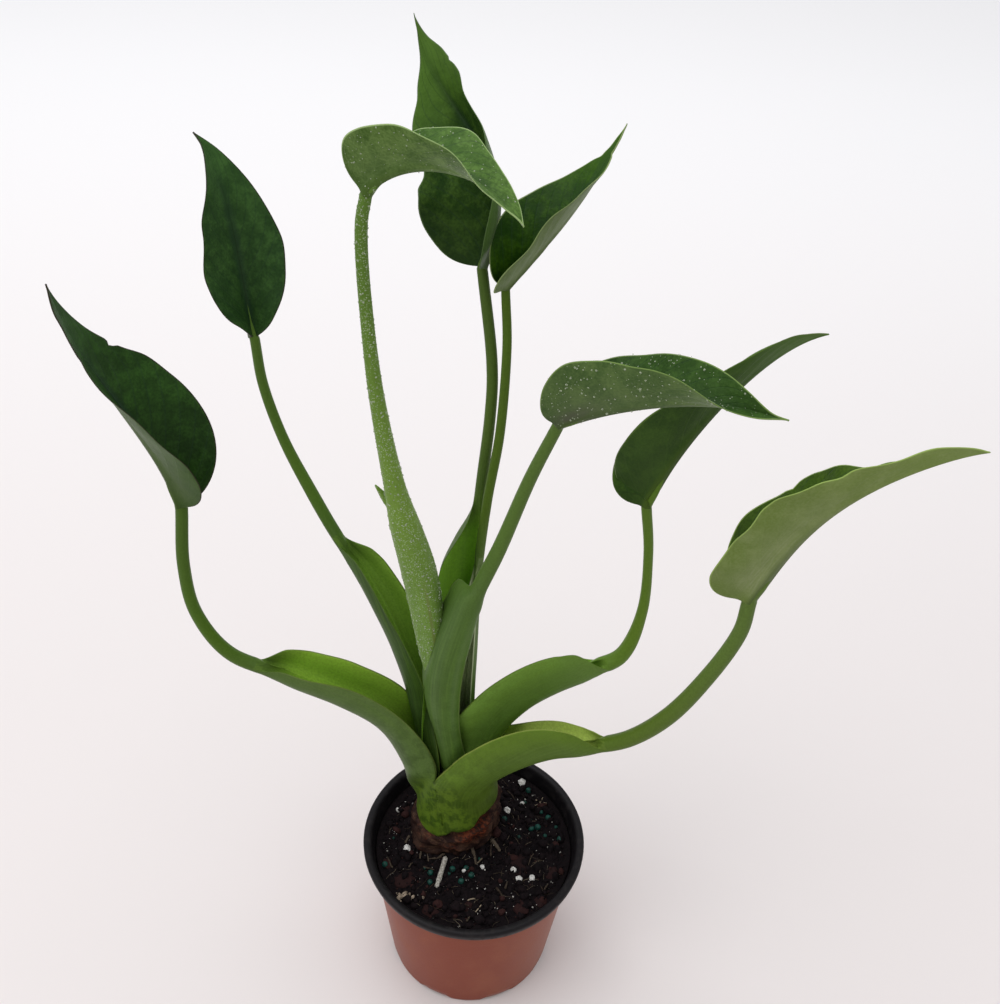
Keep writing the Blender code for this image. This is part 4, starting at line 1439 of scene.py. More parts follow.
@dataclass
class Soil:
    """Dark peat with crumbs, twigs and fibres on it.

    A lump holds (x, y, radius), and a root its radius, its paleness and the places it passes.
    """

    top_radius: float = 46.7
    rings: int = 64
    sides: int = 190
    crumbs: int = 620
    dust: int = 1500
    specks: int = 330
    lumps: tuple[Triple, ...] = (
        (21.0, -9.4, 5.6), (-31.0, -19.5, 4.4), (37.6, -12.1, 3.6), (23.4, -30.5, 4.2),
        (-17.7, -33.9, 3.8), (-40.2, -11.7, 2.8), (-0.9, -31.4, 3.2), (32.1, -26.9, 3.0),
        (-34.0, 18.0, 3.6), (-27.0, 28.0, 3.4), (6.0, 38.0, 3.5))
    roots: tuple[tuple[float, float, tuple[Pair, ...]], ...] = (
        (0.34, 0.95, ((0.3, -36.8), (2.9, -34.2), (5.0, -31.1))),
        (0.38, 0.62, ((-1.1, -28.9), (2.1, -28.0), (4.9, -28.0))),
        (0.28, 0.85, ((5.3, -8.3), (4.6, -5.9), (4.2, -3.5))),
        (0.26, 0.95, ((29.6, 28.0), (32.1, 26.4), (34.1, 24.2))),
        (0.24, 0.9, ((30.6, 22.8), (31.4, 25.8), (33.1, 30.0))),
        (0.22, 0.9, ((28.6, 24.4), (31.0, 25.6), (35.0, 26.8))),
        (0.32, 0.8, ((-38.6, 17.0), (-36.9, 17.4), (-35.2, 18.2))),
        (0.95, 0.09, ((-1.1, -2.8), (0.5, -6.4), (1.7, -10.6))),
        (1.2, 0.13, ((8.4, 1.6), (10.2, 0.3), (12.6, -2.4))),
        (0.9, 0.1, ((-27.6, 5.6), (-30.5, 3.4), (-32.6, -0.5))),
        (0.7, 0.14, ((-22.4, -2.8), (-24.6, -5.6), (-25.0, -9.2))),
        (0.6, 0.06, ((-13.6, -7.2), (-16.5, -8.9), (-20.8, -9.4))))

    def height(self, points: Array) -> Array:
        """Height of the peat at places."""
        flat = points * (1, 1, 0)
        reach = np.linalg.norm(flat, axis=-1)
        crown = 1 - np.clip((reach - 23) / 21, 0, 1)
        crown = crown + 2.2 * ease(27.5, 20.5, np.linalg.norm(flat - STEM, axis=-1))
        lumps = Ripple(31)(flat, 8, 4) * 1.1 + np.abs(Ripple(32)(flat, 3.2, 3)) * 0.9 - 0.5
        return SOIL_HEIGHT + crown + lumps * ease(46.5, 43, reach)

    def build(self) -> list[bpy.types.Object]:
        """Builds the peat, its crumbs, twigs and fibres."""
        reach = np.linspace(0.02, 1, self.rings)[:, None] ** 0.8 * self.top_radius
        turn = turns_of(self.sides)[None]
        points = around_axis(reach, turn, 0.0)
        points[..., 2] = self.height(points)
        low = np.array([(45.6, 70.0), (37.0, 3.0), (0.5, 2.5)])
        rings = np.concatenate([points, around_axis(low[:, :1], turn, low[:, 1:])])
        outer = ease(28, 45, np.linalg.norm(rings[..., :2], axis=-1))[..., None]
        rings = blend(rings, Pot.settled(rings), np.maximum(outer, rings[..., 2:] < 71))
        peat = Shape(rings.reshape(-1, 3), [ring_faces(len(rings), self.sides),
                                            *end_caps(len(rings), self.sides)],
                     {"grain": np.full(len(rings) * self.sides, 0.35)})
        rng = np.random.default_rng(41)
        big = self._crumbs(rng, self.crumbs, ball(2), (0.5, 2.1), 43)
        small = self._crumbs(rng, self.dust, ball(1), (0.25, 0.7), 44)
        peat_finish = MatteGrain((0.0018, 0.0012, 0.0018), (0.011, 0.0062, 0.0072), 1.3, 0.85, 0.14,
                                 0.12, 0.5, (0.03, 0.0115, 0.0105), 0.1)
        soil = Shape.joined([peat, big, small, self._lumps()]).object(
            "peat", [peat_finish.material("peat")])
        fibres = Shape.joined([self._fibres(rng), self._marked_roots()])
        twig_finish = MatteGrain((0.016, 0.009, 0.006), (0.42, 0.34, 0.24), 1.2, 0.75, 0.05, 0.15, 0.92)
        twigs = fibres.object("peat_fibres", [twig_finish.material("peat_fibre")])
        speck_finish = MatteGrain((0.05, 0.045, 0.04), (0.75, 0.72, 0.66), 0.5, 0.8, 0.05, 0.2, 0.85)
        bits = self._crumbs(rng, self.specks, ball(1), (0.12, 0.5), 45)
        specks = bits.object("pale_specks", [speck_finish.material("pale_speck")])
        LOG.info("soil: peat, crumbs, fibres and specks")
        return [carried(piece, "soil") for piece in (soil, twigs, specks)]

    def _spots(self, rng: np.random.Generator, count: int, margin: float) -> Array:
        """Places on the peat, clear of the corm and the wall."""
        flat = np.zeros((0, 3))
        while len(flat) < count:
            trial = np.concatenate([rng.uniform(-46, 46, (count, 2)), np.zeros((count, 1))], axis=1)
            away = np.linalg.norm(trial - STEM, axis=1)
            keep = (np.linalg.norm(trial, axis=1) < 45 - margin) & (away > 19.5)
            flat = np.vstack([flat, trial[keep]])
        flat = flat[:count]
        flat[:, 2] = self.height(flat)
        return flat

    def _crumbs(self, rng: np.random.Generator, count: int, base: Shape, span: Pair,
                seed: int) -> Shape:
        """Crumbs of peat of many sizes."""
        places = self._spots(rng, count, 1.5)
        size = span[0] + (span[1] - span[0]) * rng.random(count) ** 2.6
        sizes = size[:, None] * rng.uniform(0.7, 1.3, (count, 3))
        places[:, 2] += size * 0.25
        return scattered(base, places, sizes, turned_by(rng, count), 0.34, seed)

    def _lumps(self) -> Shape:
        """Large dark red lumps of peat."""
        rng = np.random.default_rng(47)
        lumps = np.array(self.lumps)
        places, half = lumps * (1, 1, 0), lumps[:, 2]
        places[:, 2] = self.height(places) - 0.35 * half + 0.5
        sizes = half[:, None] * np.stack([rng.uniform(0.9, 1.1, len(lumps)),
                                          rng.uniform(0.75, 1.0, len(lumps)),
                                          np.full(len(lumps), 0.5)], axis=-1)
        turns = np.array([Matrix.Rotation(turn, 3, "Z") for turn in rng.uniform(0, 3.1, len(lumps))])
        shape = scattered(ball(4), places, sizes, turns, 0.3, 48)
        shape.values = {"grain": 0.885 + 0.03 * shape.values["grain"]}
        return shape

    def _marked_roots(self) -> Shape:
        """Roots and twigs that lie in known places, each with its radius and paleness."""
        shapes = []
        for radius, pale, route in self.roots:
            flat = np.array([(*spot, 0.0) for spot in route])
            places, _ = smooth_route(flat, 6)
            step = np.linspace(0, 1, len(places))
            places[:, 2] = self.height(places) + radius * 0.7 + 0.2 * np.sin(step * 9)
            shape = tube(places, radius * (1 - 0.45 * step) * (1 + 0.15 * np.sin(step * 21)), 9)
            shape.values = {"grain": np.full(len(shape.points), pale)}
            shapes.append(shape)
        return Shape.joined(shapes)

    def _fibres(self, rng: np.random.Generator) -> Shape:
        """Fine root hairs and bits of twig that lie on the peat."""
        shapes = []
        for index, start in enumerate(self._spots(rng, 130, 4)):
            coarse = index % 9 == 0
            length = rng.uniform(3, 8) if coarse else rng.uniform(2, 9)
            heading = rng.uniform(0, 2 * math.pi)
            step = np.linspace(0, 1, 10)
            sway = np.cumsum(rng.normal(0, 0.06 if coarse else 0.22, 10)) + heading
            flat = np.cumsum(np.stack([np.cos(sway), np.sin(sway), 0 * step], axis=-1), axis=0)
            places = start + flat * length / 10
            reach = np.linalg.norm(places[:, :2], axis=1)
            places[:, :2] *= np.minimum(1, 44.5 / np.maximum(reach, 1))[:, None]
            radius = rng.uniform(0.3, 0.6) if coarse else rng.uniform(0.07, 0.16)
            places[:, 2] = self.height(places) + radius + 0.25 + 0.5 * np.sin(step * math.pi)
            shape = tube(places, radius * (1 - 0.4 * step), 7 if coarse else 5)
            shape.values = {"grain": np.full(len(shape.points), 0.4 * rng.random() ** 2)}
            shapes.append(shape)
        return Shape.joined(shapes)


@dataclass
class TopDressing:
    """Perlite, green prills, a pale sliver and a tan crumb on the soil.

    The perlite and the small prills hold (x, y, radius), and the prills (x, y).
    """

    soil: Soil
    perlite: tuple[Triple, ...] = (
        (15.4, 19.5, 2.0), (22.4, 38.0, 1.9), (-31.5, -3.9, 1.7), (19.4, -12.2, 1.4),
        (22.1, -16.7, 1.7), (28.2, -15.9, 1.5), (-5.6, -11.4, 0.9), (-3.9, -14.1, 1.0),
        (5.0, -12.0, 1.1), (6.0, -21.9, 1.0), (26.6, -1.0, 1.0), (22.7, 25.2, 1.1),
        (-38.0, 17.3, 1.2))
    prills: tuple[Pair, ...] = (
        (30.6, 11.8), (27.4, 10.8), (41.4, 6.2), (35.6, 17.9), (14.2, 14.6), (25.8, 33.1),
        (-19.4, -15.8), (-0.2, -16.4), (-4.8, -19.9), (-9.2, -13.8), (-41.2, -12.5))
    small: tuple[Triple, ...] = (
        (26.8, 16.2, 1.1), (3.4, -7.9, 0.9), (-19.2, -21.1, 1.3), (-10.7, -16.6, 0.8),
        (24.1, 26.5, 0.9), (34.2, 7.7, 1.0), (37.1, 1.8, 0.8), (39.5, 13.1, 0.9), (21.6, 6.3, 0.8),
        (32.1, 20.6, 1.1), (-2.9, -12.5, 1.2), (-22.2, -13.7, 0.9), (10.3, -9.0, 0.7),
        (-29.0, -31.0, 0.8), (-38.6, 2.0, 0.7), (15.0, -33.0, 0.8))

    prill_radius: float = 1.45
    crumb: Pair = (-30.1, -28.6)
    sliver: tuple[Pair, Pair] = ((-12.9, -9.3), (-15.8, -23.3))

    def _at(self, x: float, y: float, rise: float) -> Array:
        """Place on the soil with a rise above it."""
        spot = np.array((x, y, 0.0))
        return np.array((x, y, float(self.soil.height(spot[None])[0]) + rise))

    def build(self) -> list[bpy.types.Object]:
        """Builds and dresses all of it."""
        finishes = {
            "perlite": MatteGrain((0.5, 0.49, 0.46), (0.85, 0.84, 0.8), 0.8, 0.85, 0.2),
            "prill": MatteGrain((0.003, 0.026, 0.02), (0.008, 0.07, 0.052), 1.6, 0.45, 0.02, 0.25),
            "tan_crumb": MatteGrain((0.03, 0.016, 0.01), (0.5, 0.4, 0.3), 1.0, 0.8, 0.15, 0.15, 0.75),
            "sliver": MatteGrain((0.22, 0.2, 0.17), (0.5, 0.48, 0.43), 0.7, 0.7, 0.05, 0.2)}
        white, green, tan, wood = (finish.material(name) for name, finish in finishes.items())
        pieces = []
        for index, (x, y, half) in enumerate(self.perlite):
            pieces.append(self._grain(f"perlite_{index + 1}", "perlite", self._at(x, y, half * 0.4),
                                      half, 0.2, white, 60 + index))
        for index, (x, y) in enumerate(self.prills):
            pieces.append(self._grain(f"prill_{index + 1}", "prill", self._at(x, y, 0.8),
                                      self.prill_radius, 0.05, green, 90 + index))
        pieces += [self._small_prills(green), self._crumb(tan), self._sliver(wood)]
        LOG.info("top dressing: %d pieces", len(pieces))
        return pieces

    def _grain(self, node: str, slot: str, place: Array, half: float, rough: float,
               material: bpy.types.Material, seed: int) -> bpy.types.Object:
        """One grain in the place of its node."""
        rng = np.random.default_rng(seed)
        sizes = half * rng.uniform(0.8, 1.15, (1, 3)) if slot == "perlite" else np.full((1, 3), half)
        shape = scattered(ball(4), place[None], sizes, turned_by(rng, 1), rough, seed)
        if slot == "perlite" and seed % 3 == 0:
            shape.points = self._dented(shape.points, place, half)
        return carried(shape.object(f"{node}_grain", [material]), node)

    @staticmethod
    def _dented(points: Array, place: Array, half: float) -> Array:
        """Points of a grain with a hollow in its upper front, as of a broken shell."""
        away = points - place
        facing = unit(away) @ unit(np.array((0.1, -0.6, 0.8)))
        return place + away * (1 - 0.7 * ease(0.74, 0.95, facing))[:, None]

    def _small_prills(self, material: bpy.types.Material) -> bpy.types.Object:
        """Smaller prills, half sunk in the peat."""
        rng = np.random.default_rng(75)
        places = np.array([self._at(x, y, half * 0.4) for x, y, half in self.small])
        sizes = np.array([[half] * 3 for _, _, half in self.small])
        shape = scattered(ball(3), places, sizes, turned_by(rng, len(sizes)), 0.06, 76)
        return carried(shape.object("small_prills", [material]), "prill_11")

    def _crumb(self, material: bpy.types.Material) -> bpy.types.Object:
        """Clump of small tan and white bits."""
        rng = np.random.default_rng(77)
        count = 34
        spread = rng.normal(0, 1.9, (count, 3)) * (1.2, 0.8, 0)
        x, y = self.crumb
        places = np.array([self._at(x + dx, y + dy, 0.5) for dx, dy, _ in spread])
        size = rng.uniform(0.3, 1.1, count)[:, None] * rng.uniform(0.6, 1.2, (count, 3))
        shape = scattered(ball(3), places, size, turned_by(rng, count), 0.3, 78)
        return carried(shape.object("tan_clump", [material]), "crumb")

    def _sliver(self, material: bpy.types.Material) -> bpy.types.Object:
        """Pale stick that lies on the soil."""
        run = np.linspace(0, 1, 24)[:, None]
        start, end = (np.array((*spot, 0)) for spot in self.sliver)
        flat = start * (1 - run) + end * run
        height = np.interp(run[:, 0], [0, 1], self.soil.height(flat)[[0, -1]])
        flat[:, 2] = height + 1.2
        radius = 1.15 + 0.05 * np.sin(run[:, 0] * 11)
        return carried(tube(flat, radius, 12).object("wood_sliver", [material]), "sliver")


@dataclass
class Drops:
    """Beads of water that cling to a wet leaf."""

    name: str
    node: str
    count: int
    largest: float
    smallest: float = 0.13
    low: float = 190.0
    seed: int = 51

    def build(self, carrier: bpy.types.Object, water: bpy.types.Material) -> bpy.types.Object:
        """Builds the beads, all of them above the lowest height.

        Args:
            carrier: Piece that they cling to.
            water: Their material.

        Returns:
            All beads as one piece.
        """
        rng = np.random.default_rng(self.seed)
        polygons, read = carrier.data.polygons, []
        for kind, width in (("center", 3), ("normal", 3), ("area", 1)):
            flat = np.zeros(len(polygons) * width)
            polygons.foreach_get(kind, flat)
            read.append(flat.reshape(-1, width))
        middle, normal, area = read[0], read[1], read[2][:, 0]
        wanted = area * (middle[:, 2] > self.low * MM)
        pick = rng.choice(len(middle), self.count, p=wanted / wanted.sum())
        size = self.smallest + (self.largest - self.smallest) * rng.random(self.count) ** 3.2
        up = normal[pick]
        shift = rng.uniform(-0.9, 0.9, (self.count, 3)) * np.sqrt(area[pick])[:, None] / MM
        shift -= up * np.sum(shift * up, axis=1, keepdims=True)
        places = middle[pick] / MM + shift + up * size[:, None] * 0.05
        side = unit(np.cross(up, (0.3, 0.5, 0.81)))
        turns = np.stack([side, np.cross(up, side), up], axis=-1)
        spans = ((0.85, 1.15), (0.85, 1.15), (0.55, 0.75))
        sizes = size[:, None] * np.stack([rng.uniform(*span, self.count) for span in spans], axis=-1)
        shape = scattered(ball(2), places, sizes, turns, 0.04, self.seed)
        LOG.info("drops on %s: %d", self.node, self.count)
        return carried(shape.object(self.name, [water]), self.node)


# Stage


@dataclass
class Studio:
    """Pale floor, soft light and the camera."""

    camera_place: Triple = (3.6, -311.2, 557.0)
    pitch: float = 40.58
    roll: float = 3.14
    lens: float = 41.4

    def build(self) -> None:
        """Sets up the whole stage."""
        self._floor()
        self._world()
        self._lamp("top_softbox", (-0.3, 0.1, 2.2), 1.6, 20.0, (1.0, 0.99, 1.0))
        self._lamp("left_softbox", (-1.6, -0.9, 1.4), 1.4, 7.0, (1.0, 1.0, 1.0))
        self._camera()
        scene = bpy.context.scene
        scene.view_settings.view_transform = "Standard"
        LOG.info("stage: floor, lights and camera")

    def _floor(self) -> None:
        """Large pale floor with painted light in its colour: white and cooler behind, darker and warmer
        in front.
        """
        mesh = bpy.data.meshes.new("floor")
        mesh.from_pydata([(-4, -4, 0), (4, -4, 0), (4, 4, 0), (-4, 4, 0)], [], [(0, 1, 2, 3)])
        floor = bpy.data.objects.new("floor", mesh)
        bpy.context.scene.collection.objects.link(floor)
        material, graph = new_material("pale_floor")
        spot = graph.node("ShaderNodeTexCoord", output="Object")
        depth = graph.part(spot, 1)
        # painted light: the floor's colour grows darker and warmer towards the front
        base = graph.mix(depth.rise(-0.1, 1.25), (0.8, 0.755, 0.74), (0.99, 0.99, 0.99))
        graph.finish(Base_Color=base, Roughness=0.9, Specular_IOR_Level=0.1)
        mesh.materials.append(material)

    def _world(self) -> None:
        """White surroundings, dimmer on the camera's side."""
        world = bpy.data.worlds.new("studio")
        bpy.context.scene.world = world
        world.use_nodes = True
        graph = Graph(world.node_tree)
        direction = graph.node("ShaderNodeTexCoord", output="Generated")
        depth, height = graph.part(direction, 1), graph.part(direction, 2)
        front = depth.fall(-0.9, 0.3) * height.fall(0.2, 0.95)
        colour = graph.mix(front, (0.92, 0.92, 0.95), (0.78, 0.76, 0.75))
        light = graph.node("ShaderNodeBackground", None, {0: colour, 1: 0.76})
        graph.node("ShaderNodeOutputWorld", None, {0: light})

    def _lamp(self, name: str, place: Triple, size: float, power: float, colour: Colour) -> None:
        """Large square lamp that looks at the plant."""
        lamp = bpy.data.lights.new(name, "AREA")
        lamp.size, lamp.energy, lamp.color = size, power, colour
        item = bpy.data.objects.new(name, lamp)
        spot = np.array(place)
        back = unit(spot - np.array((0, 0, 0.15)))
        right = unit(np.cross((0, 0, 1.0), back))
        self._aim(item, spot, right, np.cross(back, right), back)

    @staticmethod
    def _aim(item: bpy.types.Object, place: Array, right: Array, up: Array, back: Array) -> None:
        """Places an object with its own axes given."""
        matrix = Matrix.Identity(4)
        for column, vector in enumerate((right, up, back, place)):
            for row in range(3):
                matrix[row][column] = float(vector[row])
        item.matrix_world = matrix
        bpy.context.scene.collection.objects.link(item)

    def _camera(self) -> None:
        """Camera at the photograph's viewing angle."""
        data = bpy.data.cameras.new("camera")
        data.sensor_fit, data.sensor_width, data.lens = "HORIZONTAL", 36.0, self.lens
        data.clip_end = 50
        pitch, roll = math.radians(self.pitch), math.radians(self.roll)
        ahead = np.array((0, math.cos(pitch), -math.sin(pitch)))
        right, up = np.array((1.0, 0, 0)), np.array((0, math.sin(pitch), math.cos(pitch)))
        turned = math.cos(roll) * right + math.sin(roll) * up
        lifted = -math.sin(roll) * right + math.cos(roll) * up
        item = bpy.data.objects.new("camera", data)
        self._aim(item, np.array(self.camera_place) * MM, turned, lifted, -ahead)
        bpy.context.scene.camera = item


# The plant's own leaves


def left_leaf() -> Leaf:
    """Leaf that leans out to the left."""
    stalk = Stalk(188, ((-29.7, 11.1, 104.2), (-33.7, 11.1, 127), (-43.6, 10, 152), (-60.8, 6.8, 170.5),
                        (-82.1, 3, 187), (-101.9, -1.3, 203), (-112.2, -2.8, 227),
                        (-113.9, -2.4, 252.6), (-111.5, -0.3, 279.1)),
                  ((0, 1.5), (0.3, 2.5), (0.5, 3.1), (0.8, 2.45), (1, 2.3)), 0.6,
                  ((0, 17.5, 16.9, 20.5), (0.12, 14.5, 18.5, 22.6), (0.3, 11.8, 20.2, 23.4),
                   (0.5, 9.5, 21.6, 21.6), (0.7, 7.5, 21, 20.6), (0.88, 7.3, 17.6, 15.2),
                   (1, 6.4, 17.5, 12)), 0.17, 0.08)
    blade = Blade((-111.6, 0.1, 280.5), 96.0, (182.6, 190.8, 176.4), (81.9, 67.6, 84.5),
                  (-15.5, -5.7, 7.2), (20.9, 23.0), (73.8, 30.2, -1.4), (73.8, 29.8, 2.9),
                  (26.3, 24.2), (0.67, 1.36), (3.5, 0.4),
                  (0.3, 0.5, -1.1, -1.1, -0.4, 0.6, 1.0, -1.3, -1.3, 1.0),
                  (-0.4, -0.1, 0.1, 0.2, 0.4, 1.3, -0.6, -0.7, -0.3, -0.1), (0.5, 3.5, 0.2),
                  ((-1, 0.665, 0.014, 1.9), (1, 0.735, 0.016, 1.6)))
    return Leaf("left", stalk, blade,
                StalkSkin((0.024, 0.047, 0.005), (0.078, 0.128, 0.031), (0.068, 0.14, 0.01),
                          (0.062, 0.12, 0.014), (0.32, 0.55, 0.055), 0.6, blotch=0.5, painted_highlight=0.3),
                LeafSkin((0.014, 0.042, 0.007), (0.03, 0.085, 0.013), (0.036, 0.078, 0.014),
                         (0.058, 0.108, 0.023), (0.035, 0.03, 0.018), pale=(0.1, 0.14, 0.055)),
                Collar())


def front_right_leaf() -> Leaf:
    """Leaf in front that leans out to the right."""
    stalk = Stalk(-18, ((6, 8.4, 112.7), (10.7, 6.7, 125.9), (21.6, 3.1, 140.8), (34, -0.9, 153),
                        (47.8, -6.1, 162.4), (62.4, -12.6, 177.2), (75.4, -17.5, 199.3),
                        (85.9, -20.2, 226.4), (93.2, -20.9, 251), (94.2, -20.1, 268)),
                  ((0, 1.6), (0.3, 2.75), (0.5, 3.5), (0.6, 3.5), (0.8, 3.1), (1, 2.7)), 0.465,
                  ((0, 19.5, 36.8, 21.8), (0.12, 18.3, 36.4, 21.8), (0.3, 16.5, 33.6, 21.8),
                   (0.5, 13.1, 32.8, 18.5), (0.7, 9.8, 30.4, 15.2), (0.88, 6.6, 23.5, 10.5),
                   (1, 4.2, 12, 9)), 0.17, 0.1)
    blade = Blade((93.9, -20.0, 269.0), 107.1, (-37.9, -14.9, 24.7), (72.8, 56.6, -8.3),
                  (14.8, -28.4, -64.8), (23.0, 20.7), (62.8, 32.7, 25.0), (61.7, 35.4, 33.7),
                  (23.9, 29.5), (0.36, 1.07), (0.2, 6.6),
                  (0.5, 0.5, 0.2, -1.5, 2.4, 1.4, -0.7, -0.7, -0.4, -0.1),
                  (0.8, 0.0, -1.5, -0.7, 1.8, 0.4, -0.4, -1.8, 0.7, 0.3), (1.1, 5.5, 0.1),
                  ((1, 0.36, 0.014, 1.0), (-1, 0.6, 0.03, 2.6), (-1, 0.43, 0.02, 0.6)))
    return Leaf("front_right", stalk, blade,
                StalkSkin((0.045, 0.075, 0.007), (0.078, 0.14, 0.012), (0.09, 0.148, 0.018),
                          (0.1, 0.165, 0.03), (0.5, 0.64, 0.14), 0.465, (0.3, 0.38, 0.08),
                          lift=0.7),
                LeafSkin((0.034, 0.074, 0.006), (0.06, 0.118, 0.011), (0.13, 0.19, 0.04),
                         (0.185, 0.245, 0.075), (0.3, 0.42, 0.11), pale=(0.3, 0.33, 0.19),
                         shade=0.2),
                Collar(18.5, tuck=0.35))


def right_leaf() -> Leaf:
    """Leaf that leans out to the right behind the front one."""
    stalk = Stalk(8, ((4.4, 16.5, 119.1), (9, 17.9, 141.2), (19.6, 19.6, 158.1), (32.1, 20.8, 170),
                      (45.4, 21.5, 179.2), (59.2, 21.2, 190.6), (64.9, 23.3, 215.4), (63.5, 24, 247),
                      (59.5, 23.4, 272.6)),
                  ((0, 1.5), (0.3, 2.1), (0.5, 3.7), (0.6, 3.1), (0.7, 2.3), (0.85, 1.95),
                   (1, 2.05)), 0.54,
                  ((0, 14.8, 35, 18.6), (0.12, 12.6, 34.5, 19.2), (0.3, 10.2, 33, 19.5),
                   (0.5, 8.2, 33.7, 18), (0.7, 7.4, 34, 14), (0.88, 6.6, 31, 8.5),
                   (1, 5.2, 26, 5)), 0.15, 0.08)
    blade = Blade((59.5, 23.0, 273.0), 99.5, (-17.5, 24.2, 24.0), (78.5, 47.6, 1.1),
                  (-9.2, -48.2, -34.0), (22.1, 19.7), (103.2, 28.3, 41.9), (102.4, 34.4, 37.8),
                  (28.1, 32.8), (0.43, 1.01), (8.4, 14.0),
                  (0.6, 0.4, -0.2, -0.5, -0.2, -0.1, 0.0, 0.4, 0.4, 0.2),
                  (-1.5, 0.3, 0.7, 1.1, 0.8, -0.6, -1.1, 0.1, 0.5, -0.2))
    return Leaf("right", stalk, blade,
                StalkSkin((0.078, 0.157, 0.021), (0.113, 0.21, 0.033), (0.112, 0.198, 0.018),
                          (0.095, 0.175, 0.018), (0.2, 0.42, 0.03), 0.54, (0.16, 0.25, 0.04),
                          lift=0.75),
                LeafSkin((0.03, 0.075, 0.009), (0.055, 0.12, 0.014), (0.025, 0.058, 0.009),
                         (0.046, 0.096, 0.014), (0.09, 0.15, 0.03), pale=(0.05, 0.085, 0.022),
                         pale_share=0.3, tip=1.0))


def back_left_leaf() -> Leaf:
    """Leaf that stands up behind on the left."""
    stalk = Stalk(150, ((-22.5, 20.7, 124.9), (-27.2, 23.3, 145.1), (-32.1, 27.8, 163.9),
                        (-40.2, 33.3, 187.5), (-51, 38.9, 209.6), (-63.8, 44.8, 227.9),
                        (-75.4, 51.6, 247.7), (-85.7, 57.5, 268.6), (-92.2, 60.4, 292.4),
                        (-93.5, 60.1, 314.2)),
                  ((0, 1.5), (0.3, 2.45), (0.5, 2.6), (0.65, 2.6), (0.8, 2.2), (1, 1.95)), 0.6,
                  ((0, 14.7, 16.7, 19), (0.12, 12.6, 17.4, 21.5), (0.3, 10.4, 17.6, 22.4),
                   (0.5, 7.7, 17.1, 20.6), (0.7, 7.7, 16.2, 17.4), (0.88, 5.5, 15.2, 13.5),
                   (1, 3.8, 17, 10)), 0.16, 0.1)
    blade = Blade((-93.8, 60.0, 315.0), 78.0, (115.6, 131.7, 160.3), (65.4, 78.3, 50.8),
                  (4.8, -6.7, 15.0), (18.1, 17.5), (61.2, 19.0, 35.4), (54.6, 18.2, 28.3),
                  (26.2, 25.3), (0.68, 1.13), (0.0, 0.4),
                  (-0.1, 0.7, 0.8, -0.3, -1.0, -1.0, 0.1, 0.7, 1.1, 0.6),
                  (0.4, 0.1, -0.3, 0.0, 0.2, -0.3, -0.5, -0.2, 0.1, 0.4))
    return Leaf("back_left", stalk, blade,
                StalkSkin((0.028, 0.065, 0.007), (0.048, 0.098, 0.018), (0.068, 0.135, 0.015),
                          (0.07, 0.135, 0.018), (0.25, 0.44, 0.055), 0.6, (0.12, 0.2, 0.03),
                          streak=0.5, lift=-0.5, painted_highlight=0.5),
                LeafSkin((0.02, 0.058, 0.013), (0.044, 0.11, 0.024), (0.05, 0.08, 0.03),
                         (0.08, 0.11, 0.045), (0.03, 0.03, 0.016)))


def middle_leaf() -> Leaf:
    """Wet leaf in the middle."""
    stalk = Stalk(-80, ((-9.9, 4.6, 130.5), (-13.9, 3.3, 165.6), (-12.9, 2.1, 198.7), (-5.3, 1, 236.5),
                        (4.4, -2.3, 270.3), (13.2, -5.8, 305.6), (21.3, -9.8, 333.4)),
                  ((0, 1.5), (0.3, 1.7), (0.55, 3.2), (0.8, 2.55), (1, 2.0)), 0.63,
                  ((0, 9.7, 19.2, 11), (0.12, 7.4, 18.7, 7), (0.3, 6.7, 18.6, 5), (0.5, 9.1, 20, 6),
                   (0.7, 7.5, 21.8, 7), (0.88, 5.6, 18.4, 7), (1, 5.3, 17, 7)), 0.12, 0.07)
    blade = Blade((21.3, -10.1, 334.0), 77.5, (-38.1, -18.1, -18.1), (42.1, 19.4, -6.9),
                  (6.9, -22.5, 66.5), (21.7, 21.5), (49.6, 41.3, 48.5), (40.8, 42.8, 30.2),
                  (26.6, 28.5), (0.61, 1.33), (5.8, 2.3),
                  (0.0, 0.1, -0.1, 0.0, 0.3, 0.3, 0.2, 0.1, -0.6, -1.1),
                  (-0.4, 0.6, 1.9, -0.7, -1.8, 0.1, 0.8, 0.6, -0.2, -0.2))
    return Leaf("middle", stalk, blade,
                StalkSkin((0.042, 0.095, 0.008), (0.066, 0.13, 0.022), (0.085, 0.155, 0.024),
                          (0.085, 0.15, 0.026), (0.2, 0.4, 0.03), 0.63, (0.15, 0.22, 0.06),
                          streak=0.45, painted_highlight=0.3),
                LeafSkin((0.022, 0.058, 0.009), (0.045, 0.102, 0.018), (0.05, 0.098, 0.024),
                         (0.102, 0.165, 0.047), (0.17, 0.26, 0.07), pale=(0.12, 0.155, 0.075),
                         blush=(0.07, 0.075, 0.05), blush_reach=0.35))


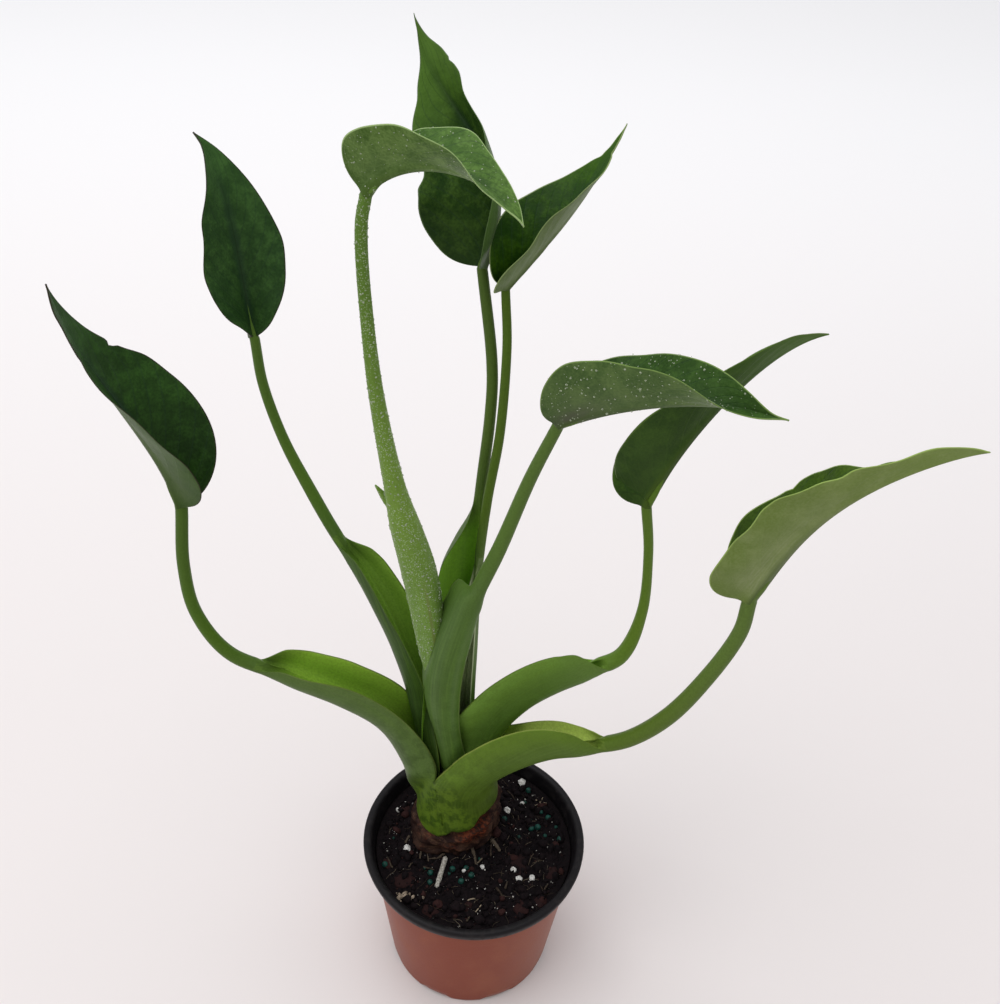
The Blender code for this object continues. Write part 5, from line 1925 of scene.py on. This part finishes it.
def back_leaf() -> Leaf:
    """Tall leaf at the back."""
    stalk = Stalk(95, ((-9.5, 23.3, 140), (-7, 25, 184), (-5.5, 29, 222), (-4.5, 33, 262),
                       (-1.9, 37, 300), (-2.2, 40, 324), (-7, 45, 358)),
                  ((0, 1.5), (0.3, 1.8), (0.6, 2.25), (0.8, 2.15), (1, 1.95)), 0.65,
                  ((0, 14, 5, 20), (0.3, 18, 4, 26), (0.55, 18.5, 3.5, 28), (0.72, 16.5, 3, 25),
                   (0.88, 12.5, 3, 20), (1, 7, 3, 13)), 0.2)
    blade = Blade((-7.1, 45.1, 359.0), 92.4, (29.5, 137.0, 135.6), (70.1, 39.9, 75.5),
                  (-13.3, -45.0, -42.8), (27.1, 19.7), (55.2, 28.5, 5.7), (25.3, 68.7, 4.3),
                  (21.8, 34.2), (0.56, 1.36), (13.1, 3.1),
                  (-0.7, 0.9, 1.6, 1.6, -0.2, 0.8, 2.4, -0.8, -3.6, -2.1),
                  (0.1, 0.6, 0.8, 0.3, -0.4, -1.1, -0.9, 3.0, 2.9, 0.7),
                  nicks=((-1, 0.79, 0.008, 0.9), (1, 0.735, 0.03, 0.8)))
    return Leaf("back", stalk, blade,
                StalkSkin((0.04, 0.08, 0.015), (0.06, 0.11, 0.02), (0.072, 0.128, 0.018),
                          (0.064, 0.112, 0.018), (0.2, 0.44, 0.032), 0.65, (0.12, 0.2, 0.04)),
                LeafSkin((0.013, 0.042, 0.005), (0.053, 0.112, 0.015), (0.06, 0.125, 0.022),
                         (0.08, 0.155, 0.032), (0.09, 0.15, 0.05), pale=(0.08, 0.14, 0.035),
                         tip=1.1, shade=0.5))


def back_right_leaf() -> Leaf:
    """Leaf at the back that points to the right."""
    stalk = Stalk(60, ((-6.3, 19, 140), (-5.5, 21, 185), (-3.8, 24.5, 233), (-1.3, 28, 267),
                       (2.2, 32, 297), (3.1, 37, 330), (1.5, 42, 352)),
                  ((0, 1.4), (0.3, 1.6), (0.6, 1.9), (0.8, 1.8), (1, 1.6)), 0.55,
                  ((0, 7.6, 12, 10), (0.5, 4.6, 10, 9), (1, 3, 6, 6)), 0.4)
    blade = Blade((1.4, 42.2, 353.0), 70.5, (23.2, 39.3, 63.6), (41.5, 43.3, 36.6),
                  (29.0, -19.0, -25.5), (17.9, 14.9), (75.9, 35.6, 12.2), (73.2, 35.2, -12.1),
                  (27.4, 25.5), (0.49, 1.38), (5.8, 13.9),
                  (-0.2, -0.3, 0.5, 0.5, 0.3, 0.3, 0.3, -0.5, -1.2, -0.3),
                  (-0.2, -1.9, -3.3, -0.6, 1.9, 1.9, 0.4, -1.6, -2.3, -0.8),
                  nicks=((-1, 0.83, 0.014, 1.0), (1, 0.8, 0.02, 0.7)))
    return Leaf("back_right", stalk, blade,
                StalkSkin((0.07, 0.12, 0.03), (0.09, 0.15, 0.045), (0.075, 0.135, 0.012),
                          (0.07, 0.128, 0.012), (0.36, 0.44, 0.22), 0.55, (0.5, 0.56, 0.36), 1.1,
                          streak=0.6),
                LeafSkin((0.013, 0.048, 0.003), (0.034, 0.09, 0.004), (0.115, 0.165, 0.06),
                         (0.155, 0.215, 0.085), (0.24, 0.32, 0.12), pale=(0.18, 0.23, 0.11),
                         tip=0.5, shade=0.1))


def young_leaf() -> Leaf:
    """Pale, wet young leaf that nods over the others."""
    stalk = Stalk(200, ((-10, 13.4, 130), (-14, 13, 155), (-20.5, 12, 197), (-26, 10, 242),
                        (-33.8, 8, 282), (-39.8, 5, 329), (-42.2, 3, 368), (-42.3, 1, 393),
                        (-40.4, 0, 405)),
                  ((0, 4.3), (0.16, 4.8), (0.32, 6.2), (0.46, 6.9), (0.54, 6), (0.62, 3.9),
                   (0.72, 2.9), (0.85, 2.2), (1, 1.9)))
    blade = Blade((-40.2, -0.1, 406.0), 58.2, (-35.6, -18.4, -46.4), (56.9, 0.8, -38.0),
                  (-26.4, -17.6, 4.0), (18.0, 18.2), (37.1, 30.8, 1.4), (36.7, 31.3, -2.5),
                  (24.7, 24.0), (0.66, 1.27), (4.8, 0.0),
                  (0.0, 0.0, 0.0, -0.3, 0.3, 1.4, -0.4, -1.3, -0.5, 0.1),
                  (0.2, 0.9, 0.1, -1.0, -1.0, 0.1, 1.3, 0.6, -0.9, -0.9))
    return Leaf("young", stalk, blade,
                StalkSkin((0.08, 0.15, 0.02), (0.12, 0.22, 0.03), (0.16, 0.275, 0.04),
                          (0.1, 0.19, 0.028), (0.12, 0.2, 0.04), 0.5, painted_bead_glints=0.75),
                LeafSkin((0.05, 0.115, 0.017), (0.11, 0.21, 0.042), (0.042, 0.095, 0.011),
                         (0.125, 0.21, 0.05), (0.32, 0.45, 0.18), pale=(0.17, 0.25, 0.1),
                         pale_share=0.25, tip=0.0, shade=0.2),
                spur=((-33.0, 9.0, 276.0), (-37.6, 9.0, 280.5), (-42.0, 9.0, 287.5)))


def main() -> None:
    """Builds every piece of the potted plant and the stage in order."""
    logging.basicConfig(level=logging.INFO, format="%(message)s")
    Pot().build()
    soil = Soil()
    soil.build()
    Corm().build()
    TopDressing(soil).build()
    leaves = {leaf.name: leaf.build() for leaf in (
        left_leaf(), front_right_leaf(), right_leaf(), back_left_leaf(), middle_leaf(), back_leaf(),
        back_right_leaf(), young_leaf())}
    water = Water().material("water")
    Drops("young_stalk_drops", "stalk_young", 2300, 0.45).build(leaves["young"][0], water)
    Drops("young_blade_drops", "blade_young", 380, 0.3).build(leaves["young"][1], water)
    Drops("middle_blade_drops", "blade_middle", 760, 0.42).build(leaves["middle"][1], water)
    Studio().build()


if __name__ == "__main__":
    main()
